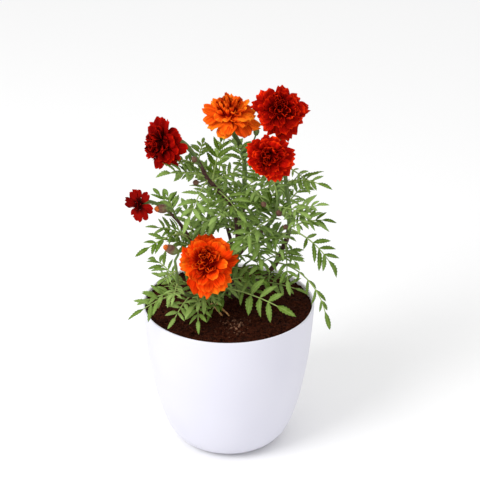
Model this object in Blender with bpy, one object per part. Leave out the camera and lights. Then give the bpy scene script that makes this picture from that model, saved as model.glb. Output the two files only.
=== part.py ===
"""A french marigold growing in a white pot.

Lengths in the tables below are millimetres, and the solids are made in metres with +Z up. The origin
is the centre of the pot's flat underside, -Y is the plant's front and +X its right. The pot is filled
with soil, the main stem stands in a hole in it, and the leafy stems leave the main stem at several
heights. Each carries its leaves, and most end in a green cup with a flower head on it.
"""

import math
from collections import namedtuple

import bpy
import numpy as np
from mathutils.bvhtree import BVHTree

MM = 0.001
GAP = 0.3
UP = np.array([0.0, 0.0, 1.0])

# Pot
RIM_RADIUS = 76.0
POT_HEIGHT = 135.0
POT_WALL = 2.0
POT_FLOOR = 3.0
POT_STEPS = 26
# Radius and height up the outside, from the flat underside to just below the rim.
POT_OUTSIDE = [(33.0, 0.0), (43.0, 3.0), (50.0, 8.0), (57.0, 19.5), (65.0, 46.0), (71.8, 84.0),
               (75.0, 118.0)]
FOOT_COUNT = 4
FOOT_SIZE = (18.0, 5.0, 3.0)
FOOT_RADIUS = 34.0
FIRST_FOOT_HEADING = -96.0

# Soil
SOIL_EDGE_HEIGHT = 128.5
SOIL_MOUND = 4.0
SOIL_RINGS = (20.0, 40.0, 60.0)
CLOD_COUNT = 7
CLOD_CENTRE = (4.0, -38.0)
CLOD_SPREAD = 10.0

# Stems
TRUNK_ROUTE = [(4, 12, 118), (4.5, 12, 150), (7.5, 14, 180), (11, 16, 204)]
TRUNK_RADII = (3.4, 2.3)
TRUNK_SIDES = 8
STEM_SIDES = 5
STALK_SIDES = 5
CUP_SIDES = 6

# Blades
LEAF_THICKNESS = 0.65
PETAL_THICKNESS = 0.7
RIB_HALF_WIDTH = 0.55
LEAFLET_ROOT = 1.7
MOST_LEAFLET = 19.0
LIGHT_TILT = 34.0

Stem = namedtuple("Stem", "route base_radius tip_radius")
Leaf = namedtuple("Leaf", "stem at heading pitch length pairs sag roll", defaults=(4, 15.0, 0.0))
Flower = namedtuple("Flower", "centre radius heading pitch layers")
Layer = namedtuple("Layer", "count rise reach width height curl turn")
Bud = namedtuple("Bud", "stem at centre heading pitch radius")

STEMS = {
    "left": Stem([(8, 14, 184), (7, 8, 208), (3, 1, 228), (-8, -4, 243), (-18, -7, 257),
                  (-22, -9, 267), (-27, -11, 277)], 1.9, 1.5),
    "top": Stem([(11, 16, 204.5), (13, 17, 225), (14, 18, 244), (14, 18, 258), (13, 17, 270)], 2.1, 1.8),
    "middle": Stem([(7, 13, 172), (19, 10, 188), (31, 4, 203), (39, -2, 217), (42, -6, 232),
                    (42, -7, 246)], 2.0, 1.5),
    "right": Stem([(4, 12, 138), (20, 15, 143), (39, 14, 161), (47, 11, 180), (52, 5, 198),
                   (53, 3, 220), (50, 4, 243), (48, 6, 262), (46, 8, 280)], 2.3, 1.6),
    "front": Stem([(4, 12, 138), (2, 0, 146), (-4, -12, 154), (-9, -20, 162), (-13, -25, 169)], 2.0, 1.7),
    "far_left": Stem([(6, 12, 158), (-5, 3, 170), (-18, -8, 183), (-29, -16, 197), (-37, -22, 215),
                      (-44, -27, 228), (-52, -30, 238)], 1.9, 1.2),
    "low_left": Stem([(4, 11, 134), (-8, -3, 146), (-22, -20, 153), (-35, -34, 159), (-42, -42, 171),
                      (-43, -48, 188), (-44, -51, 200)], 1.8, 1.1),
    "back": Stem([(7, 14, 166), (2, 26, 182), (-4, 37, 202), (-8, 43, 224), (-9, 45, 240)], 1.8, 1.1),
    "back_right": Stem([(9, 15, 190), (20, 27, 200), (31, 35, 214), (37, 38, 232)], 1.6, 1.0),
}

# The leaves that show first, then the ones behind them, which give way to the first.
LEAVES = [
    Leaf("left", 0.77, -149, 28, 46, 4, 18),
    Leaf("left", 0.95, 80, 30, 26, 3, 14),
    Leaf("left", 0.90, 147, 10, 28, 3, 20),
    Leaf("left", 0.68, 57, 74, 42, 3, 12),
    Leaf("left", 0.58, -65, 5, 44, 3, 22),
    Leaf("left", 0.74, -135, -20, 46, 3, 24),
    Leaf("top", 0.80, -130, 50, 34, 3, 14),
    Leaf("top", 0.81, -30, 15, 28, 3, 20),
    Leaf("right", 0.89, -38, -8, 27, 3, 22),
    Leaf("middle", 0.90, -116, 58, 34, 3, 16),
    Leaf("middle", 0.78, -60, 20, 36, 3, 24),
    Leaf("right", 0.62, -30, 34, 34, 3, 16),
    Leaf("right", 0.53, -18, -16, 51, 4, 44),
    Leaf("right", 0.50, -138, 10, 58, 4, 14),
    Leaf("right", 0.28, -38, 0, 74, 4, 92),
    Leaf("right", 0.43, -88, -20, 42, 3, 34),
    Leaf("middle", 0.62, -138, -6, 50, 3, 26),
    Leaf("far_left", 0.70, -157, 0, 40, 3, 34),
    Leaf("far_left", 0.60, -122, 54, 38, 3, 14),
    Leaf("far_left", 0.86, 112, 40, 30, 3, 20),
    Leaf("far_left", 0.45, -170, 34, 34, 3, 20),
    Leaf("low_left", 0.66, -166, 52, 28, 3, 24),
    Leaf("low_left", 0.62, -153, 6, 44, 3, 36),
    Leaf("low_left", 0.52, -118, -14, 34, 3, 38),
    Leaf("low_left", 0.44, -88, -14, 36, 3, 40),
    Leaf("low_left", 0.36, -58, 20, 24, 3, 40),
    Leaf("front", 0.60, -33, 8, 62, 4, 22, 18),
    Leaf("front", 0.70, -157, 6, 44, 3, 24),
    Leaf("front", 0.36, -150, -2, 34, 3, 30),
    Leaf("low_left", 0.90, -120, 10, 25, 3, 24),
    Leaf("low_left", 0.76, -95, 10, 30, 3, 26),
    Leaf("top", 0.50, -150, 36, 48, 3, 24),
    Leaf("top", 0.35, -20, 30, 44, 3, 24),
    Leaf("left", 0.35, -110, 20, 44, 3, 24),
    Leaf("middle", 0.45, -70, 4, 44, 3, 24),
    Leaf("top", 0.12, -100, 14, 50, 3, 26),
    Leaf("middle", 0.25, -85, 12, 48, 3, 26),
    Leaf("right", 0.46, -104, 34, 44, 3, 24),
    Leaf("right", 0.58, 160, 20, 46, 3, 24),
    Leaf("right", 0.33, -120, 22, 44, 3, 28),
    Leaf("right", 0.72, 100, 20, 34, 3, 34),
    Leaf("left", 0.30, -168, -14, 44, 3, 26),
    Leaf("far_left", 0.28, 110, 52, 44, 3, 16),
    Leaf("top", 0.22, 172, 14, 44, 3, 24),
    Leaf("top", 0.58, -84, 40, 40, 3, 30),
    Leaf("middle", 0.55, 75, 30, 42, 3, 24),
    Leaf("far_left", 0.52, 110, 34, 38, 3, 24),
    Leaf("top", 0.66, 95, 34, 44, 3, 30),
    Leaf("left", 0.50, 100, 24, 38, 3, 26),
    Leaf("back", 0.40, 110, 20, 44, 3, 34),
    Leaf("back", 0.55, 60, 24, 46, 3, 34),
    Leaf("back", 0.80, 140, 34, 38, 3, 24),
    Leaf("back", 0.96, 80, 50, 40, 3, 24),
    Leaf("back_right", 0.60, 20, 16, 36, 3, 34),
    Leaf("back_right", 0.80, 110, 30, 42, 3, 30),
    Leaf("back_right", 0.96, 60, 44, 34, 3, 24),
]

# Turns in degrees of heading and pitch that a leaf tries in order, until it is clear of all else.
SWINGS = [(0, 0), (10, 0), (-10, 0), (0, 12), (0, -12), (20, 0), (-20, 0), (12, 14), (-12, 14), (12, -14),
          (-12, -14), (32, 0), (-32, 0), (0, 26), (0, -26), (26, 20), (-26, 20), (26, -20), (-26, -20),
          (48, 0), (-48, 0), (44, 24), (-44, 24), (70, 0), (-70, 0), (70, 24), (-70, 24)]
LEAF_CLEARANCE = 0.45
SHARED_REACH = 6.0

# Petal layers: how many, how steeply they rise, their reach, width and height on the core as shares of
# the head's radius, how far they curl back, and how far the layer is turned.
DOUBLE_LAYERS = [Layer(9, 6, 1.0, 0.60, 0.08, 24, 0), Layer(8, 30, 0.92, 0.55, 0.16, 24, 20),
                 Layer(6, 50, 0.76, 0.46, 0.24, 12, 8), Layer(4, 68, 0.50, 0.30, 0.36, 0, 30)]
SINGLE_LAYERS = [Layer(8, 10, 1.0, 0.66, 0.10, 16, 0), Layer(5, 45, 0.52, 0.32, 0.24, 0, 18)]
STEEP_RISE = 60
ROOT_REACH = 0.17
CORE_HEIGHT = 0.42

FLOWERS = {
    "left": Flower((-57, -21, 293), 22.0, -138, 8, DOUBLE_LAYERS),
    "top": Flower((1.5, 10.5, 308.5), 24.0, -116, 70, DOUBLE_LAYERS),
    "right": Flower((43.5, -6, 318), 23.2, -95, 34, DOUBLE_LAYERS),
    "middle": Flower((34, -28, 284), 21.5, -100, 20, DOUBLE_LAYERS),
    "front": Flower((-18, -45, 197), 26.5, -95, 42, DOUBLE_LAYERS),
    "far_left": Flower((-75, -40, 246), 15.5, -127, 8, SINGLE_LAYERS),
}

OPENING_BUDS = {
    "bud_left": Bud("far_left", 0.86, (-54, -40, 243), -150, 10, 3.7),
    "bud_low": Bud("low_left", 1.0, (-46.5, -54, 212), -165, 30, 3.9),
}
SMALL_BUDS = {
    "small_bud_1": Bud("left", 0.88, (-28, -20, 279), -120, 50, 2.4),
    "small_bud_2": Bud("left", 0.72, (-27, -18, 257), -120, 20, 2.4),
    "small_bud_3": Bud("middle", 0.70, (30, -22, 239), -110, 50, 2.3),
    "small_bud_4": Bud("right", 0.66, (43, -18, 229), -110, 50, 2.6),
    "small_bud_5": Bud("right", 0.56, (49, -14, 214), -90, 40, 2.3),
    "small_bud_6": Bud("top", 0.95, (24, 4, 294), -60, 70, 2.5),
}


# Directions and curves

def heading_direction(heading, pitch):
    """The unit vector at a compass heading in degrees from +X towards +Y, raised by the pitch."""
    turn, rise = math.radians(heading), math.radians(pitch)
    return np.array([math.cos(rise) * math.cos(turn), math.cos(rise) * math.sin(turn), math.sin(rise)])


def unit(vector):
    return vector / np.linalg.norm(vector)


def smooth_route(points, per_span):
    """A Catmull-Rom curve through the points, with per_span steps between each two."""
    knots = np.array(points, float)
    knots = np.vstack([2 * knots[0] - knots[1], knots, 2 * knots[-1] - knots[-2]])
    steps = np.arange(per_span)[:, None] / per_span
    spans = []
    for a, b, c, d in zip(knots[:-3], knots[1:-2], knots[2:-1], knots[3:]):
        bend = (c - a) * steps + (2 * a - 5 * b + 4 * c - d) * steps**2 + (3 * b - a - 3 * c + d) * steps**3
        spans.append(b + 0.5 * bend)
    return np.vstack(spans + [knots[-2:-1]])


def point_along(path, share):
    """The place on a path at a share of its length, and the path's direction there."""
    lengths = np.linalg.norm(np.diff(path, axis=0), axis=1)
    reached = np.concatenate([[0.0], np.cumsum(lengths)])
    target = share * reached[-1]
    place = np.array([np.interp(target, reached, path[:, axis]) for axis in range(3)])
    span = min(int(np.searchsorted(reached, target, side="right")) - 1, len(path) - 2)
    return place, unit(path[span + 1] - path[span])


def joining_curve(start, start_direction, end, end_direction, count):
    """A smooth curve that leaves the start and reaches the end along the given directions."""
    pull = np.linalg.norm(end - start)
    t = np.linspace(0.0, 1.0, count)[:, None]
    return ((2 * t**3 - 3 * t**2 + 1) * start + (t**3 - 2 * t**2 + t) * pull * start_direction
            + (3 * t**2 - 2 * t**3) * end + (t**3 - t**2) * pull * end_direction)


# Closed shapes as points in millimetres and triangles

def tube(path, radii, sides):
    """A round bar along a path, its radius given at each point, with flat ends."""
    path = np.asarray(path, float)
    tangents = np.gradient(path, axis=0)
    across = np.cross(tangents[0], UP)
    if np.linalg.norm(across) < 0.1 * np.linalg.norm(tangents[0]):
        across = np.array([1.0, 0.0, 0.0])
    angles = 2 * math.pi * np.arange(sides) / sides
    rings = []
    for place, tangent, radius in zip(path, tangents, radii):
        tangent = unit(tangent)
        across = unit(across - tangent * np.dot(across, tangent))
        other = np.cross(tangent, across)
        rings.append(place + radius * (np.outer(np.cos(angles), across) + np.outer(np.sin(angles), other)))
    faces = []
    for ring in range(len(path) - 1):
        for side in range(sides):
            a = ring * sides + side
            b = ring * sides + (side + 1) % sides
            faces += [(a, b, b + sides), (a, b + sides, a + sides)]
    last = (len(path) - 1) * sides
    for side in range(1, sides - 1):
        faces += [(0, side + 1, side), (last, last + side, last + side + 1)]
    return np.vstack(rings), faces


def thickened(points, faces, thickness):
    """A sheet of triangles given a thickness, half to each side, with a wall round its edge."""
    points = np.asarray(points, float)
    corners = points[np.array(faces)]
    face_normals = np.cross(corners[:, 1] - corners[:, 0], corners[:, 2] - corners[:, 0])
    normals = np.zeros_like(points)
    for corner in range(3):
        np.add.at(normals, np.array(faces)[:, corner], face_normals)
    normals /= np.linalg.norm(normals, axis=1)[:, None]
    shift = 0.5 * thickness * normals
    count = len(points)
    solid = list(faces) + [(a + count, c + count, b + count) for a, b, c in faces]
    directed = {edge for a, b, c in faces for edge in ((a, b), (b, c), (c, a))}
    for a, b in sorted(directed):
        if (b, a) not in directed:
            solid += [(b, a, a + count), (b, a + count, b + count)]
    return np.vstack([points + shift, points - shift]), solid


def leaf_skeleton(leaf, base, heading, pitch):
    """The rib's places and frames, and the root, direction and length of each leaflet.

    The rib is an arc in an upright plane that sags as it goes. The blade is turned about it towards the
    plant's front, where the light comes from. Leaflets stand in pairs, at 62 degrees near the stalk and
    38 near the tip, lifted a little out of the leaf's plane.
    """
    steps = np.linspace(0.0, 1.0, 41)
    rise = np.radians(pitch - leaf.sag * steps)
    turn = math.radians(heading)
    tangents = np.stack([np.cos(rise) * math.cos(turn), np.cos(rise) * math.sin(turn), np.sin(rise)], axis=1)
    middles = 0.5 * (tangents[1:] + tangents[:-1]) * leaf.length / (len(steps) - 1)
    rib = base + np.vstack([np.zeros(3), np.cumsum(middles, axis=0)])
    side = np.array([-math.sin(turn), math.cos(turn), 0.0])

    def frame_at(share):
        tangent = unit(np.array([np.interp(share, steps, tangents[:, axis]) for axis in range(3)]))
        place = np.array([np.interp(share, steps, rib[:, axis]) for axis in range(3)])
        level = np.cross(tangent, side)
        tilt = math.radians(leaf.roll + LIGHT_TILT * math.cos(turn))
        left = math.cos(tilt) * side + math.sin(tilt) * level
        return place, tangent, left, np.cross(tangent, left)

    rib_length = 1.0 - 0.30 * 20.0 / max(leaf.length, 24.0)
    shares = np.linspace(0.34, rib_length, leaf.pairs + 1)
    longest = min((0.18 + 1.17 / (leaf.pairs + 3.0)) * leaf.length, MOST_LEAFLET)
    leaflets = []
    for number, share in enumerate(shares[:-1]):
        place, tangent, left, normal = frame_at(share)
        spread = math.radians(62.0 - 24.0 * number / max(leaf.pairs - 1, 1))
        length = longest * (0.74, 1.0, 0.96, 0.86, 0.78)[min(number, 4)]
        for hand in (1.0, -1.0):
            flat = math.cos(spread) * tangent + hand * math.sin(spread) * left
            direction = unit(flat + 0.22 * normal)
            leaflets.append((share, hand, place, direction, length, normal))
    place, tangent, left, normal = frame_at(shares[-1])
    leaflets.append((shares[-1], 0.0, place, tangent, longest * 0.98, normal))
    return frame_at, leaflets


def leaf_blade(leaf, base, heading, pitch, thickness, grow=0.0):
    """One cut leaf as a single thin blade: a narrow rib strip and a pointed leaflet at each place on it."""
    frame_at, leaflets = leaf_skeleton(leaf, base, heading, pitch)
    shares = sorted({leaflet[0] for leaflet in leaflets})
    half_root = 0.5 * LEAFLET_ROOT / leaf.length
    stations = [0.0]
    for share in shares[:-1]:
        stations += [share - half_root, share + half_root]
    stations.append(shares[-1])
    points = []
    for station in stations:
        place, _, left, _ = frame_at(station)
        points += [place - RIB_HALF_WIDTH * left, place + RIB_HALF_WIDTH * left]
    faces = []
    for number in range(len(stations) - 1):
        right, left_side = 2 * number, 2 * number + 1
        faces += [(right, right + 2, left_side + 2), (right, left_side + 2, left_side)]
    for share, hand, place, direction, length, normal in leaflets:
        half_width = 0.17 * length + 0.3 + grow
        width = unit(np.cross(normal, direction))
        middle = place + 0.46 * length * direction + 0.3 * normal
        first = len(points)
        points += [middle + half_width * width, middle - half_width * width,
                   place + (length + grow) * direction - 0.07 * length * normal]
        near, far, tip = first, first + 1, first + 2
        if hand == 0.0:
            start, end = 2 * (len(stations) - 1), 2 * (len(stations) - 1) + 1
            near, far = first + 1, first
        else:
            station = 1 + 2 * shares.index(share)
            left_or_right = 1 if hand > 0 else 0
            start, end = 2 * station + left_or_right, 2 * (station + 1) + left_or_right
            if hand > 0:
                start, end = end, start
                near, far = first + 1, first
            else:
                near, far = first + 1, first
        faces += [(start, near, far), (start, far, end), (near, tip, far)]
    return thickened(points, faces, thickness)


# Objects

def material(name, colour, roughness, metallic=0.0):
    """A plain finish with one colour."""
    made = bpy.data.materials.new(name)
    made.use_nodes = True
    shader = made.node_tree.nodes["Principled BSDF"]
    shader.inputs["Base Color"].default_value = (*colour, 1.0)
    shader.inputs["Roughness"].default_value = roughness
    shader.inputs["Metallic"].default_value = metallic
    return made


def add_object(name, shape, finish):
    """An object in the scene from a shape's points, in millimetres, and faces."""
    points, faces = shape
    mesh = bpy.data.meshes.new(name)
    mesh.from_pydata((np.asarray(points) * MM).tolist(), [], [tuple(face) for face in faces])
    mesh.materials.append(finish)
    made = bpy.data.objects.new(name, mesh)
    bpy.context.scene.collection.objects.link(made)
    return made


def fused(name, shapes, finish, solver="MANIFOLD"):
    """One object from several closed shapes, joined by a single Boolean union that is then applied."""
    body = add_object(name, shapes[0], finish)
    if len(shapes) > 1:
        joined = bpy.data.collections.new(name + "_pieces")
        bpy.context.scene.collection.children.link(joined)
        for number, shape in enumerate(shapes[1:]):
            piece = add_object(f"{name}_piece_{number}", shape, finish)
            bpy.context.scene.collection.objects.unlink(piece)
            joined.objects.link(piece)
        union = body.modifiers.new("union", "BOOLEAN")
        union.operation = "UNION"
        union.operand_type = "COLLECTION"
        union.collection = joined
        union.solver = solver
        apply_modifiers(body)
        for piece in list(joined.objects):
            bpy.data.objects.remove(piece)
        bpy.data.collections.remove(joined)
    return body


def apply_modifiers(body):
    """Replaces the object's mesh by the one that its modifiers make."""
    graph = bpy.context.evaluated_depsgraph_get()
    mesh = bpy.data.meshes.new_from_object(body.evaluated_get(graph), depsgraph=graph)
    body.modifiers.clear()
    body.data = mesh


def surface_tree(shape):
    """A search tree of a shape's triangles, for testing what crosses what."""
    points, faces = shape
    return BVHTree.FromPolygons(np.asarray(points).tolist(), [tuple(face) for face in faces])


def object_tree(made):
    """The search tree of an object's own mesh, in millimetres."""
    mesh = made.data
    points = np.empty(3 * len(mesh.vertices))
    mesh.vertices.foreach_get("co", points)
    points = points.reshape(-1, 3) / MM
    return BVHTree.FromPolygons(points.tolist(), [tuple(face.vertices) for face in mesh.polygons])


# Pot and soil

def inside_profile():
    """The outside profile moved in by the wall, from the floor's edge up to just below the rim."""
    outer = np.array(POT_OUTSIDE + [(RIM_RADIUS, POT_HEIGHT)])
    along = np.gradient(outer, axis=0)
    along /= np.linalg.norm(along, axis=1)[:, None]
    inner = outer + POT_WALL * np.stack([-along[:, 1], along[:, 0]], axis=1)
    floor_edge = (POT_OUTSIDE[0][0], POT_FLOOR)
    return [floor_edge] + [tuple(point) for point in inner[1:-1]]


def turned_object(name, profile, steps, finish):
    """A profile of radius and height turned round the Z axis by a Screw modifier, which is applied."""
    mesh = bpy.data.meshes.new(name)
    mesh.from_pydata([(r * MM, 0.0, z * MM) for r, z in profile], [(i, i + 1) for i in range(len(profile) - 1)], [])
    mesh.materials.append(finish)
    made = bpy.data.objects.new(name, mesh)
    bpy.context.scene.collection.objects.link(made)
    screw = made.modifiers.new("turn", "SCREW")
    screw.steps = steps
    screw.render_steps = steps
    screw.use_merge_vertices = True
    screw.merge_threshold = 1e-5
    screw.use_smooth_shade = True
    apply_modifiers(made)
    return made


def box(centre, size, heading):
    """A block with its length across the heading, its width along it, and its lowest face at the centre's height."""
    out = heading_direction(heading, 0)
    across = np.array([-out[1], out[0], 0.0])
    points = []
    for z in (0.0, size[2]):
        for a, b in ((-1, -1), (1, -1), (1, 1), (-1, 1)):
            points.append(np.array(centre) + 0.5 * a * size[0] * across + 0.5 * b * size[1] * out + z * UP)
    faces = [(0, 1, 2), (0, 2, 3), (4, 6, 5), (4, 7, 6)]
    for a, b in ((0, 1), (1, 2), (2, 3), (3, 0)):
        faces += [(b, a, a + 4), (b, a + 4, b + 4)]
    return np.array(points), faces


def make_pot(finish):
    """A thin egg-shaped shell with a rounded rim, and four low feet under its rounding."""
    rim_inner = RIM_RADIUS - POT_WALL
    rim = [(rim_inner, POT_HEIGHT - 0.7), (rim_inner + 0.6, POT_HEIGHT), (RIM_RADIUS - 0.6, POT_HEIGHT),
           (RIM_RADIUS, POT_HEIGHT - 0.7)]
    profile = [(0.0, POT_FLOOR)] + inside_profile() + rim + POT_OUTSIDE[::-1] + [(0.0, 0.0)]
    pot = turned_object("pot", profile, POT_STEPS, finish)
    feet = bpy.data.collections.new("feet")
    bpy.context.scene.collection.children.link(feet)
    for number in range(FOOT_COUNT):
        heading = FIRST_FOOT_HEADING + 360.0 * number / FOOT_COUNT
        centre = FOOT_RADIUS * heading_direction(heading, 0) + 0.15 * UP
        foot = add_object(f"foot_{number}", box(centre, FOOT_SIZE, heading), finish)
        bpy.context.scene.collection.objects.unlink(foot)
        feet.objects.link(foot)
    union = pot.modifiers.new("feet", "BOOLEAN")
    union.operation = "UNION"
    union.operand_type = "COLLECTION"
    union.collection = feet
    apply_modifiers(pot)
    for foot in list(feet.objects):
        bpy.data.objects.remove(foot)
    bpy.data.collections.remove(feet)
    return pot


def soil_height(x, y):
    """The soil's surface: a low mound with a gentle unevenness from crossed waves."""
    reach = np.hypot(x, y) / RIM_RADIUS
    mound = SOIL_MOUND * (1.0 - reach**2)
    waves = 0.7 * np.sin(0.17 * x + 1.0) * np.cos(0.15 * y) + 0.5 * np.sin(0.31 * x - 0.23 * y + 2.0)
    return SOIL_EDGE_HEIGHT + mound + waves * (1.0 - 0.5 * reach)


def make_soil(finish):
    """A solid that fills the pot to below its rim, with clods round the crown and a hole for the stem."""
    heights = [z for _, z in inside_profile()]
    radii = [r for r, _ in inside_profile()]
    base = [(0.0, POT_FLOOR + GAP)]
    wall = [(radii[0] - 1.0, POT_FLOOR + GAP)] + [(r - GAP - 0.15, z) for r, z in zip(radii[1::2], heights[1::2])]
    edge_radius = float(np.interp(SOIL_EDGE_HEIGHT, heights + [POT_HEIGHT], radii + [RIM_RADIUS - POT_WALL]))
    top = [(edge_radius - GAP - 0.3, SOIL_EDGE_HEIGHT)]
    top += [(radius, POT_HEIGHT + 1.0) for radius in SOIL_RINGS[::-1]] + [(0.0, POT_HEIGHT + 1.0)]
    soil = turned_object("soil", (base + wall + top)[::-1], POT_STEPS, finish)
    count = len(soil.data.vertices)
    points = np.empty(3 * count)
    soil.data.vertices.foreach_get("co", points)
    points = points.reshape(-1, 3) / MM
    on_top = points[:, 2] > SOIL_EDGE_HEIGHT - 0.5
    points[on_top, 2] = soil_height(points[on_top, 0], points[on_top, 1])
    soil.data.vertices.foreach_set("co", (points * MM).ravel())
    clods = bpy.data.collections.new("clods")
    bpy.context.scene.collection.children.link(clods)
    draw = np.random.default_rng(7)
    for number in range(CLOD_COUNT):
        x, y = np.array(CLOD_CENTRE) + draw.uniform(-CLOD_SPREAD, CLOD_SPREAD, 2)
        size = draw.uniform(1.3, 2.4)
        z = float(soil_height(x, y)) + 0.2 * size
        path = [(x, y, z - 0.9 * size), (x, y, z - 0.2 * size), (x + 0.2 * size, y, z + 0.5 * size),
                (x + 0.1 * size, y, z + 0.8 * size)]
        shape = tube(path, size * np.array([0.7, 1.0, 0.8, 0.35]), STALK_SIDES)
        clod = add_object(f"clod_{number}", shape, finish)
        bpy.context.scene.collection.objects.unlink(clod)
        clods.objects.link(clod)
    union = soil.modifiers.new("clods", "BOOLEAN")
    union.operation = "UNION"
    union.operand_type = "COLLECTION"
    union.collection = clods
    x, y, _ = TRUNK_ROUTE[0]
    hole_path = [(x, y, TRUNK_ROUTE[0][2] - GAP), (x, y, POT_HEIGHT + 5.0)]
    hole_radius = TRUNK_RADII[0] + GAP + 0.3
    cutter = add_object("stem_hole", tube(hole_path, [hole_radius, hole_radius], 12), finish)
    cut = soil.modifiers.new("stem_hole", "BOOLEAN")
    cut.operation = "DIFFERENCE"
    cut.object = cutter
    apply_modifiers(soil)
    for helper in list(clods.objects) + [cutter]:
        bpy.data.objects.remove(helper)
    bpy.data.collections.remove(clods)
    return soil


def make_dried_roots(finish):
    """Two old bent roots that lie on the soil before the crown."""
    routes = [[(-15, -4), (-12.5, -10), (-9, -18), (-5.5, -26)], [(-9.5, -5), (-6.5, -11), (-2.5, -19), (0.5, -26)]]
    made = []
    for number, plan in enumerate(routes):
        radius = (0.9, 0.8)[number]
        path = smooth_route([(x, y, 0.0) for x, y in plan], 2)
        path[:, 2] = soil_height(path[:, 0], path[:, 1]) + radius + 1.3
        radii = np.linspace(radius, 0.6 * radius, len(path))
        made.append(add_object(f"dried_root_{number + 1}", tube(path, radii, STALK_SIDES), finish))
    return made


# Stems

def trunk_at(height):
    """The main stem's centre and radius at a height."""
    path = smooth_route(TRUNK_ROUTE, 6)
    centre = np.array([np.interp(height, path[:, 2], path[:, axis]) for axis in range(2)])
    radius = np.interp(height, [TRUNK_ROUTE[0][2], TRUNK_ROUTE[-1][2]], TRUNK_RADII)
    return centre, radius


def branch_path(stem):
    """A leafy stem's route from the place where its end clears the main stem by the gap."""
    path = smooth_route(stem.route, 60)
    tangents = np.gradient(path, axis=0)
    angles = np.linspace(0.0, 2 * math.pi, 12, endpoint=False)
    for start in range(len(path) - 2):
        tangent = unit(tangents[start])
        across = unit(np.cross(tangent, UP + 0.01 * np.array([1.0, 0.0, 0.0])))
        other = np.cross(tangent, across)
        ring = path[start] + stem.base_radius * (np.outer(np.cos(angles), across) + np.outer(np.sin(angles), other))
        clear = []
        for point in ring:
            centre, radius = trunk_at(point[2])
            above = point[2] - TRUNK_ROUTE[-1][2]
            clear.append(max(np.hypot(*(point[:2] - centre)) - radius, above))
        if min(clear) > GAP:
            return path[start:]
    raise ValueError("the stem never leaves the main stem")


def stem_shape(stem):
    """A leafy stem as a tapered bar with a few rings for each point of its route."""
    path = branch_path(stem)
    rings = 2 * len(stem.route) - 3
    places = np.array([point_along(path, share)[0] for share in np.linspace(0.0, 1.0, rings)])
    radii = np.linspace(stem.base_radius, stem.tip_radius, rings)
    return tube(places, radii, STEM_SIDES)


def stalk_shape(stem_path, bud):
    """The thin stalk of a bud, sunk into its stem and ending just short of the bud."""
    base, _ = point_along(stem_path, bud.at)
    facing = heading_direction(bud.heading, bud.pitch)
    end = np.array(bud.centre, float) - (1.5 * bud.radius + GAP) * facing
    leaving = unit(unit(end - base) + 0.4 * UP)
    path = joining_curve(base, leaving, end, facing, 6)
    radius = 0.75 if bud.radius < 3.0 else 1.1
    return tube(path, np.linspace(radius, 0.9 * radius, 6), STALK_SIDES)


# Flowers and buds

def flower_frame(flower):
    """Where the petals meet, the way the head faces, and two directions across it."""
    facing = heading_direction(flower.heading, flower.pitch)
    seat = np.array(flower.centre, float) - 0.3 * flower.radius * facing
    across = unit(np.cross(UP, facing))
    return seat, facing, across, np.cross(facing, across)


def cup_shape(stem_path, flower):
    """The green swollen stalk end and calyx, from the stem's tip to the flower's seat."""
    seat, facing, _, _ = flower_frame(flower)
    tip, along = point_along(stem_path, 1.0)
    size = flower.radius / 22.0
    neck = seat - 13.0 * size * facing
    stalk = joining_curve(tip + 2 * GAP * along, along, neck, facing, 4)
    cup_heights = np.array([4.0, 8.0, 11.0, 13.0]) * size
    cup = neck + cup_heights[:, None] * facing
    stalk_radii = np.linspace(1.8, 2.4, 4) * min(size, 1.0)
    cup_radii = np.array([4.2, 6.0, 6.6, 5.8]) * size
    return tube(np.vstack([stalk, cup]), np.concatenate([stalk_radii, cup_radii]), CUP_SIDES)


def petal_layer(flower, layer, number=None):
    """One layer of petals as a single sheet given a thickness, or one petal of it where a number is given.

    The petals share a small disc round the core. Each fans out from it, narrow at the root, and curls
    back to a wavy blunt end whose corners rise where the next petal's fall.
    """
    seat, facing, across, other = flower_frame(flower)
    radius = flower.radius
    lift, curl = math.radians(layer.rise), math.radians(layer.curl)
    step = 2 * math.pi / layer.count
    root_reach = ROOT_REACH * radius
    root_height = radius * layer.height
    numbers = range(layer.count) if number is None else [number]
    points, faces = [], []

    def placed(angle, distance, height):
        return seat + distance * (math.cos(angle) * across + math.sin(angle) * other) + height * facing

    for petal in numbers:
        angle = math.radians(layer.turn) + step * petal
        length = radius * layer.reach * (1.0 + 0.06 * math.sin(3.7 * petal + layer.turn)) - root_reach
        wave = 0.055 * radius * (1.0 if petal % 2 else -1.0)
        half = 0.5 * radius * layer.width
        middle_lift, end_lift = lift - 0.3 * curl, lift - curl
        middle_reach = root_reach + 0.6 * length * math.cos(middle_lift)
        middle_height = root_height + 0.6 * length * math.sin(middle_lift)
        end_reach = middle_reach + 0.4 * length * math.cos(end_lift)
        end_height = middle_height + 0.4 * length * math.sin(end_lift)
        middle_turn = 0.74 * half / middle_reach
        end_turn = 0.92 * half / end_reach
        first = len(points)
        for side in (-1.0, 0.0, 1.0):
            corner_reach = end_reach - 0.10 * length * abs(side)
            points.append(placed(angle + side * end_turn, corner_reach, end_height + wave * (2 * abs(side) - 1)))
        points += [placed(angle + side * middle_turn, middle_reach, middle_height) for side in (-1.0, 1.0)]
        faces += [(first, first + 1, first + 3), (first + 3, first + 1, first + 4), (first + 4, first + 1, first + 2)]
        near, far = (5, 6) if number is not None else (5 * layer.count + petal, 5 * layer.count + petal + 1)
        if far == 6 * layer.count:
            far = 5 * layer.count
        faces += [(near, first + 3, far), (far, first + 3, first + 4)]
    root_angles = [math.radians(layer.turn) + step * (petal - 0.5) for petal in numbers]
    if number is None:
        ring = 5 * layer.count
        faces += [(ring, ring + corner, ring + corner + 1) for corner in range(1, layer.count - 1)]
    else:
        root_angles.append(root_angles[0] + step)
    points += [placed(angle, root_reach, root_height) for angle in root_angles]
    return thickened(points, faces, PETAL_THICKNESS)


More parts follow.
